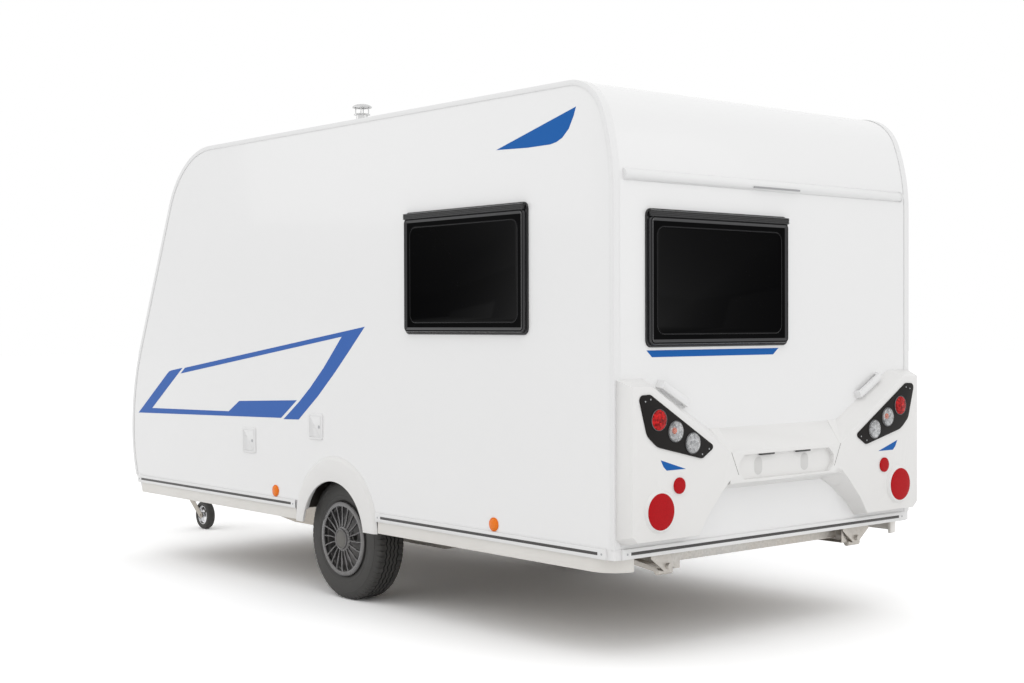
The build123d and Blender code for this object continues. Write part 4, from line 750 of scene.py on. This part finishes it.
# Layers of the lamps as (outline, steps, closed, kinds), in their finishes' order, and the bulb's offset
lampLayers = ((lampRim, 64, True, "red amber clear"), (lampBowl, 48, False, "amber clear"),
              (lampBulb, 32, False, "amber"), (redDome, 64, False, "red"),
              (clearDome, 64, False, "amber clear"))
bulbOffset = (0, 10, 4)
panelScrew = ((3.6, 0), (3.6, 0.7), (2.8, 1.3), (1.3, 1.6), (1.1, 0.8), (0, 0.8))


def makeRearLamps():
    form = newForm()
    seats = [(at(lampSeat, side * y, z), kind) for side in (1, -1) for y, z, kind in lampPlaces]
    shift = Vector(inMetres([bulbOffset])[0])
    for index, (outline, steps, closed, kinds) in enumerate(lampLayers):
        for centre, kind in seats:
            if kind in kinds:
                addTurned(form, outline, centre + shift if outline is lampBulb else centre, (-1, 0, 0), steps,
                          closed)
        paint(form, index)
    addBox(form, at(*highLamp["from"]), at(*highLamp["to"]), 1.2 * mm)
    paint(form, len(lampLayers))
    finishPiece("rear_lamp_lenses", form,
                ["lampRim", "bowlPaintedReflection", "amberBulb", "redLens", "clearLens", "highLampGrey"], "body",
                ["rear_lamps"], sharp=50)


def makeLampPanels():
    form = newForm()
    for side in (1, -1):
        outline = roundedOutline(inMetres(lampPanel), 8)
        addPlate(form, outline, rearBasis(side), wingFace * mm, -lampSeat * mm, 1.6 * mm, 3)
        paint(form, 0)
        for y, z in panelScrews:
            addTurned(form, panelScrew, at(lampSeat, side * y, z), (-1, 0, 0), 20, closed=False)
        paint(form, 1)
    finishPiece("lamp_panel_plates", form, ["lampBase", "lockGrey"], "body", ["lamp_panels"])


# Red reflectors, as (side offset, height, radius, seat, proud)
reflectors = ((858, 665, 80, -92, 3.8), (736, 769, 36, -wingFace, 9.0))
# Their rolled edge and the ring round the small one, as (past the radius, proud of the face or the seat)
reflectorEdge = ((-5, -0.3), (-2, -1.0), (0, -2.4))
reflectorRing = ((3, 0), (2.4, 1.4), (0.2, 1.8), (0.2, 0))


def makeReflectors():
    form = newForm()
    for side in (1, -1):
        for y, z, radius, seat, proud in reflectors:
            edge = [(radius + past, proud + rise) for past, rise in reflectorEdge]
            addTurned(form, [(0, proud), (radius * 0.5, proud), *edge, (radius, 0)], at(seat, side * y, z),
                      (-1, 0, 0), 96, closed=False)
        paint(form, 0)
        y, z, radius, seat, proud = reflectors[1]
        addTurned(form, [(radius + past, rise) for past, rise in reflectorRing], at(seat, side * y, z),
                  (-1, 0, 0), 72)
        paint(form, 1)
    finishPiece("rear_reflector_lenses", form, ["reflexRed", "mouldedWhite"], "body",
                ["rear_reflectors"])


# Seams between the moulding's wings and beam, the two plate lamps under the lip of the recess, and grey discs
# painted as the shade of two dimples
mouldingSeam = ((-0.6, 438, 990), (-80.2, 393, 893), (-80.2, 345, 790), (-0.6, 329, 750))
plateLamps = {"sides": (138, -122), "half": 48, "stations": (-77, -60), "heights": (869, 878)}
dimple = {"sides": (186, -146), "height": 820, "wide": 56, "tall": 82, "cornerShare": 0.49, "seat": 58,
          "proud": 0.5}
# The plate that closes each end of the beam: (side offset, distance up the slope), where the slope starts and
# how far the plate sinks into the beam and stands out of it
beamEnd = {"outline": ((386, 0), (400, 0), (456, 133), (392, 136)), "foot": (-80.4, 893),
           "head": (-0.8, 1001), "sink": -1.5, "proud": 0.6}


def makeMouldingDetails():
    form = newForm()
    for side in (1, -1):
        points = [at(x, side * y, z) for x, y, z in mouldingSeam]
        for start, end in zip(points, points[1:]):
            addRod(form, start, end, 0.9 * mm, None, 8)
    paint(form, 0)
    low, high = plateLamps["stations"]
    for side in plateLamps["sides"]:
        addBox(form, at(low, side - plateLamps["half"], plateLamps["heights"][0]),
               at(high, side + plateLamps["half"], plateLamps["heights"][1]), 2 * mm)
    paint(form, 1)
    # Grey discs on the plate recess: painted shade of its two shallow dimples
    for side in dimple["sides"]:
        disc = roundedRect(dimple["wide"] * mm, dimple["tall"] * mm,
                           dimple["wide"] * dimple["cornerShare"] * mm, 10)
        addPlate(form, disc, rearBasis(1, side, dimple["height"]), dimple["seat"] * mm,
                 (dimple["seat"] + dimple["proud"]) * mm, 0.3 * mm)
    paint(form, 2)
    foot, head = at(beamEnd["foot"][0], 0, beamEnd["foot"][1]), at(beamEnd["head"][0], 0, beamEnd["head"][1])
    slope = (head - foot).normalized()
    for side in (1, -1):
        basis = (foot, Vector((0, side, 0)), slope, Vector((-slope.z, 0, slope.x)))
        addPlate(form, inMetres(beamEnd["outline"]), basis, beamEnd["sink"] * mm, beamEnd["proud"] * mm)
    paint(form, 3)
    finishPiece("moulding_details", form, ["seamGrey", "plateLamp", "dimpleShadeGrey", "mouldedWhite"], "body")


# Round ends that close the cover over the seam between roof and rear wall
seamEnd = {"station": 8.4, "height": 2116, "side": 978,
           "outline": ((27.2, 0), (27.2, 8), (25.6, 11.4), (22, 13), (0, 13))}


def makeSeamEnds():
    form = newForm()
    for side in (1, -1):
        addTurned(form, seamEnd["outline"], at(seamEnd["station"], side * seamEnd["side"], seamEnd["height"]),
                  (0, side, 0), 48, closed=False)
    paint(form, 0)
    finishPiece("seam_cover_ends", form, ["railWhite"], "body")


makeRearLamps()
makeLampPanels()
makeReflectors()
makeMouldingDetails()
makeSeamEnds()
print("stage: rear lamps made")


# Side marker pieces, each with its body and (station, side) places; the front right one is on the door
markerHeight = 540
markerPieces = {"side_marker_lenses": ("body", ((804, 1), (2730, 1), (804, -1))),
                "side_marker_on_door": ("door", ((2730, -1),))}
markerBase = ((32.5, 0), (32.5, 4.0), (31.4, 5.4), (29.4, 5.8), (28.4, 5.0), (28.4, 0))
markerLens = ((0, 11.6), (10, 11.3), (19, 10.2), (25, 8.2), (27.6, 6.0), (28.3, 3.5), (28.3, 0.4))
# End caps of the sill rails with their screws: stations on the sides, heights, faces and the screws' places
sillCaps = {"ends": ((41, 92), (1705, 1749), (2511, 2555), (4351, 4395)), "low": 461.5, "high": 507.5,
            "outer": 1063, "rear": -13, "rearSides": (961, 1012), "screw": 484.5, "rearScrew": 983,
            "ease": 2.5}
capScrew = ((5.2, -0.5), (5.2, 0.6), (4.0, 1.3), (1.8, 1.6), (1.6, 0.7), (0, 0.7))
# The corner rail where it passes the sills, seen from above, as (station, side offset, radius)
sillCorner = ((-3, 1003, 1), (48, 1003, 1), (48, 1053, 1), (-3, 1053, 34))


def makeMarkers(name, body, places):
    form = newForm()
    seats = [(at(station, side * wallSide, markerHeight), (0, side, 0)) for station, side in places]
    for centre, axis in seats:
        addTurned(form, markerLens, centre, axis, 64, closed=False)
        addTurned(form, markerBase, centre, axis, 64)
    paint(form, 0)
    finishPiece(name, form, ["amberLens"], body, ["side_markers"])


def makeSillCaps():
    form = newForm()
    screws = []
    low, high, ease = sillCaps["low"], sillCaps["high"], sillCaps["ease"] * mm
    for side in (1, -1):
        for rear, front in sillCaps["ends"]:
            inner, outer = sorted((side * wallSide, side * sillCaps["outer"]))
            addBox(form, at(rear, inner, low), at(front, outer, high), ease, 3)
            screws.append((at((rear + front) / 2, side * sillCaps["outer"], sillCaps["screw"]), (0, side, 0)))
        basis = (at(0, 0, 0), Vector((1, 0, 0)), Vector((0, side, 0)), Vector((0, 0, 1)))
        addPlate(form, roundedOutline(inMetres(sillCorner), 8), basis, low * mm, high * mm, ease)
        inner, outer = sorted(side * offset for offset in sillCaps["rearSides"])
        addBox(form, at(sillCaps["rear"], inner, low), at(0, outer, high), ease, 3)
        screws.append((at(sillCaps["rear"], side * sillCaps["rearScrew"], sillCaps["screw"]), (-1, 0, 0)))
    paint(form, 0)
    for centre, axis in screws:
        addTurned(form, capScrew, centre, axis, 20, closed=False)
    paint(form, 1)
    finishPiece("sill_end_caps", form, ["railWhite", "lockGrey"], "body")


# Service flaps with a rounded bezel, a door and a lock, as (station, height, width, height across)
flaps = ((3016, 808, 147, 147), (2316, 921, 139, 142))
flapSteps = ((1.5, 2.0), (2.0, 1.0), (8.0, 0.2), (1.0, -1.6), (1.5, 0), (1.0, 1.8), (1.5, 0.8))
flapLock = ((9, 6), (9, 9.0), (7.6, 10.2), (3, 10.6), (2.6, 9.4), (0, 9.4))


def makeFlaps():
    form = newForm()
    for station, height, wide, tall in flaps:
        basis = basisOn(at(station, wallSide, height), (0, 1, 0))
        face = addPlate(form, roundedRect(wide * mm, tall * mm, 16 * mm), basis, 0, 4 * mm)
        addSteps(form, face, flapSteps)
        paint(form, 0)
        addTurned(form, flapLock, at(station - wide * 0.3, wallSide, height), (0, 1, 0), 28, closed=False)
        paint(form, 1)
    finishPiece("service_flap_doors", form, ["railWhite", "lockGrey"], "body",
                ["service_flaps"])


# Fridge vents with sloping louvres: places as (station, height), sizes, and the screws' places on them
vents = {"places": ((1080, 790), (1080, 1290)), "wide": 440, "tall": 230, "louvres": 8, "border": 20,
         "sink": 4, "slatHalf": 198, "screws": (-140, 140), "screwDrop": 100}
ventSteps = ((1.5, 2.0), (2.0, 0.8), (9.0, 0.1), (1.0, -5.0))
# A slat's section as (outward, share of the pitch up)
slatSection = ((0, 0), (7.5, 0.12), (7.5, 0.3), (1.5, 0.95), (0, 0.95))
ventScrew = ((8, 6), (8, 10.4), (6.5, 11.4), (0, 11.4))


def makeVents():
    form = newForm()
    out = Vector((0, -1, 0))
    pitch = (vents["tall"] - 2 * vents["border"]) / vents["louvres"]
    slat = inMetres([(outward, pitch * share) for outward, share in slatSection])
    for station, height in vents["places"]:
        basis = basisOn(at(station, -wallSide, height), out)
        face = addPlate(form, roundedRect(vents["wide"] * mm, vents["tall"] * mm, 14 * mm), basis, 0, 7 * mm)
        addSteps(form, face, ventSteps)
        for index in range(vents["louvres"]):
            low = height - vents["tall"] / 2 + vents["border"] + index * pitch
            start = at(station - vents["slatHalf"], -wallSide - vents["sink"], low)
            addPlate(form, slat, (start, out, Vector((0, 0, 1)), Vector((1, 0, 0))), 0,
                     2 * vents["slatHalf"] * mm)
        paint(form, 0)
        for offset in vents["screws"]:
            addTurned(form, ventScrew, at(station + offset, -wallSide, height - vents["screwDrop"]), out, 24,
                      closed=False)
        paint(form, 1)
    finishPiece("fridge_vent_grilles", form, ["railWhite", "lockGrey"], "body",
                ["fridge_vents"])


# Flue cowl on the roof: plinth, tube, plate, posts and a domed cap
cowl = {"station": 2300, "side": 750, "foot": 2539, "posts": 4, "postRing": 36, "postFoot": 95,
        "postTall": 42, "postRadius": 3.5}
cowlTube = ((52, 0), (52, 3), (47, 7), (36, 9), (33, 12), (32.5, 88), (45, 90), (45, 94), (43, 96), (0, 96))
cowlCap = ((0, 151), (20, 150), (38, 146), (50, 140), (55, 134), (54, 130), (50, 130), (46, 134), (0, 138))


def makeCowl():
    form = newForm()
    base = at(cowl["station"], cowl["side"], cowl["foot"])
    ring, post = cowl["postRing"], Vector((0, 0, cowl["postTall"] * mm))
    addTurned(form, cowlTube, base, (0, 0, 1), 56, closed=False)
    addTurned(form, cowlCap, base, (0, 0, 1), 56, closed=False)
    for index in range(cowl["posts"]):
        turn = 2 * math.pi * (index + 0.5) / cowl["posts"]
        foot = base + Vector((math.cos(turn) * ring * mm, math.sin(turn) * ring * mm, cowl["postFoot"] * mm))
        addRod(form, foot, foot + post, cowl["postRadius"] * mm, None, 16)
    paint(form, 0)
    finishPiece("flue_cowl_turned", form, ["brightSteel"], "body", ["flue_cowl"])


for markerName, (markerBody, markerSeats) in markerPieces.items():
    makeMarkers(markerName, markerBody, markerSeats)
makeSillCaps()
makeFlaps()
makeVents()
makeCowl()
print("stage: markers, flaps, vents and cowl made")


# Blue graphics, cut from thin film: (station, height) on the sides and (side offset, height) at the rear
film = {"thick": 0.6, "doorGap": (2593, 2600, 3200, 3207)}
sideGraphics = {
    "hook": ("decalPale", ((4405, 908), (4010, 1170), (3985, 1184), (3953, 1191), (3813, 1209), (4216, 945),
                           (3251, 965), (3130, 1030), (2506, 1057), (2671, 952))),
    "sweep": ("decalPale", ((3782, 1210), (1850, 1462), (2000, 1330), (2123, 1224), (2293, 1088), (2489, 951),
                            (2646, 946), (2485, 1048), (2372, 1130), (2238, 1241), (2140, 1335), (2064, 1409),
                            (3838, 1173))),
    "swoosh": ("decalBlue", ((780, 2281), (234, 2423), (249, 2385), (281, 2331), (324, 2295), (362, 2280),
                             (403, 2273), (559, 2272))),
}


def makeSideGraphic(name, finish, points, side):
    basis = (at(0, side * wallSide, 0), Vector((1, 0, 0)), Vector((0, 0, 1)), Vector((0, side, 0)))
    parts = {"body": newForm()}
    addPlate(parts["body"], inMetres(points), basis, 0, film["thick"] * mm)
    if side < 0 and name != "swoosh":
        low, start, end, high = film["doorGap"]
        parts["door"] = parts["body"].copy()
        for station, outer in ((start, False), (end, True)):
            keepOneSide(parts["door"], station, outer)
        rear = parts["body"].copy()
        keepOneSide(rear, low, True)
        parts["rear"] = rear
        keepOneSide(parts["body"], high, False)
    for key, form in parts.items():
        paint(form, 0)
        if len(form.faces):
            label = "graphic_" + name + ("_left" if side > 0 else "_right_" + key)
            finishPiece(label, form, [finish], "door" if key == "door" else "body")
        else:
            form.free()


# Cuts a form at a station and closes the cut; outer says that what is ahead of the cut goes
def keepOneSide(form, station, outer):
    geometry = form.verts[:] + form.edges[:] + form.faces[:]
    cut = bmesh.ops.bisect_plane(form, geom=geometry, plane_co=at(station, 0, 0), plane_no=(1, 0, 0),
                                 dist=0.00001, clear_outer=outer, clear_inner=not outer)["geom_cut"]
    edges = [part for part in cut if isinstance(part, bmesh.types.BMEdge)]
    bmesh.ops.edgenet_fill(form, edges=edges)


for graphicName, (finish, points) in sideGraphics.items():
    for side in (1, -1):
        makeSideGraphic(graphicName, finish, points, side)

rearBar = ((854, 1358), (-27, 1358), (12, 1328), (820, 1328))
rearFlash = ((849, 886), (692, 839), (812, 839), (832, 856))


def makeRearGraphics():
    form = newForm()
    addPlate(form, inMetres(rearBar), rearBasis(), 0, film["thick"] * mm)
    for side in (1, -1):
        addPlate(form, [(side * y, z) for y, z in inMetres(rearFlash)], rearBasis(), wingFace * mm,
                 (wingFace + film["thick"]) * mm)
    paint(form, 0)
    finishPiece("graphic_rear", form, ["decalBlue"], "body")


makeRearGraphics()
print("stage: graphics made")


# Floor, backdrop and light
studio = {"floorSize": 120.0, "floorColor": (0.86, 0.86, 0.86, 1), "seenColor": (1.25, 1.25, 1.25, 1),
          "key": (70.0, (-6.5, 4.0, 7.5), 4.0), "fill": (30.0, (-9.0, -4.0, 4.0), 5.0),
          "front": (30.0, (6.0, 6.5, 4.5), 4.0), "world": 0.93, "aimHeight": 1.0}


# A mask that is 1 where a camera, glossy or transmission ray looks
def addSeenMask(tree):
    path = addNode(tree, "LightPath")
    first, both = addNode(tree, "Math"), addNode(tree, "Math")
    first.operation = both.operation = "MAXIMUM"
    join(tree, (path, "Is Camera Ray", first, 0), (path, "Is Glossy Ray", first, 1),
         (first, "Value", both, 0), (path, "Is Transmission Ray", both, 1))
    return both


def floorMaterial():
    material = bpy.data.materials.new("floorPale")
    material.use_nodes = True
    tree = material.node_tree
    tree.nodes.remove(tree.nodes["Principled BSDF"])
    tone = addNode(tree, "MixRGB", {"Color1": studio["floorColor"], "Color2": studio["seenColor"]})
    surface = addNode(tree, "BsdfDiffuse")
    join(tree, (addSeenMask(tree), "Value", tone, "Fac"), (tone, "Color", surface, "Color"),
         (surface, "BSDF", tree.nodes["Material Output"], "Surface"))
    return material


def makeFloor():
    form = bmesh.new()
    bmesh.ops.create_grid(form, x_segments=1, y_segments=1, size=studio["floorSize"] / 2)
    mesh = bpy.data.meshes.new("floor")
    form.to_mesh(mesh)
    form.free()
    floor = bpy.data.objects.new("floor", mesh)
    mesh.materials.append(floorMaterial())
    bpy.context.scene.collection.objects.link(floor)


def makeWorld():
    world = bpy.data.worlds.new("studio")
    world.use_nodes = True
    tree = world.node_tree
    background = setValues(tree.nodes["Background"], {"Color": (1, 1, 1, 1)})
    span = addNode(tree, "MapRange", {"To Min": studio["world"], "To Max": 1.0})
    join(tree, (addSeenMask(tree), "Value", span, "Value"), (span, "Result", background, "Strength"))
    bpy.context.scene.world = world


def makeLight(name, power, place, size):
    lamp = bpy.data.lights.new(name, "AREA")
    lamp.energy = power
    lamp.size = size
    holder = bpy.data.objects.new(name, lamp)
    aim = Vector((0, 0, studio["aimHeight"])) - Vector(place)
    holder.matrix_world = Matrix.Translation(place) @ aim.to_track_quat("-Z", "Y").to_matrix().to_4x4()
    bpy.context.scene.collection.objects.link(holder)


makeFloor()
makeWorld()
for lightName in ("key", "fill", "front"):
    makeLight(lightName, *studio[lightName])
print("stage: studio ready")
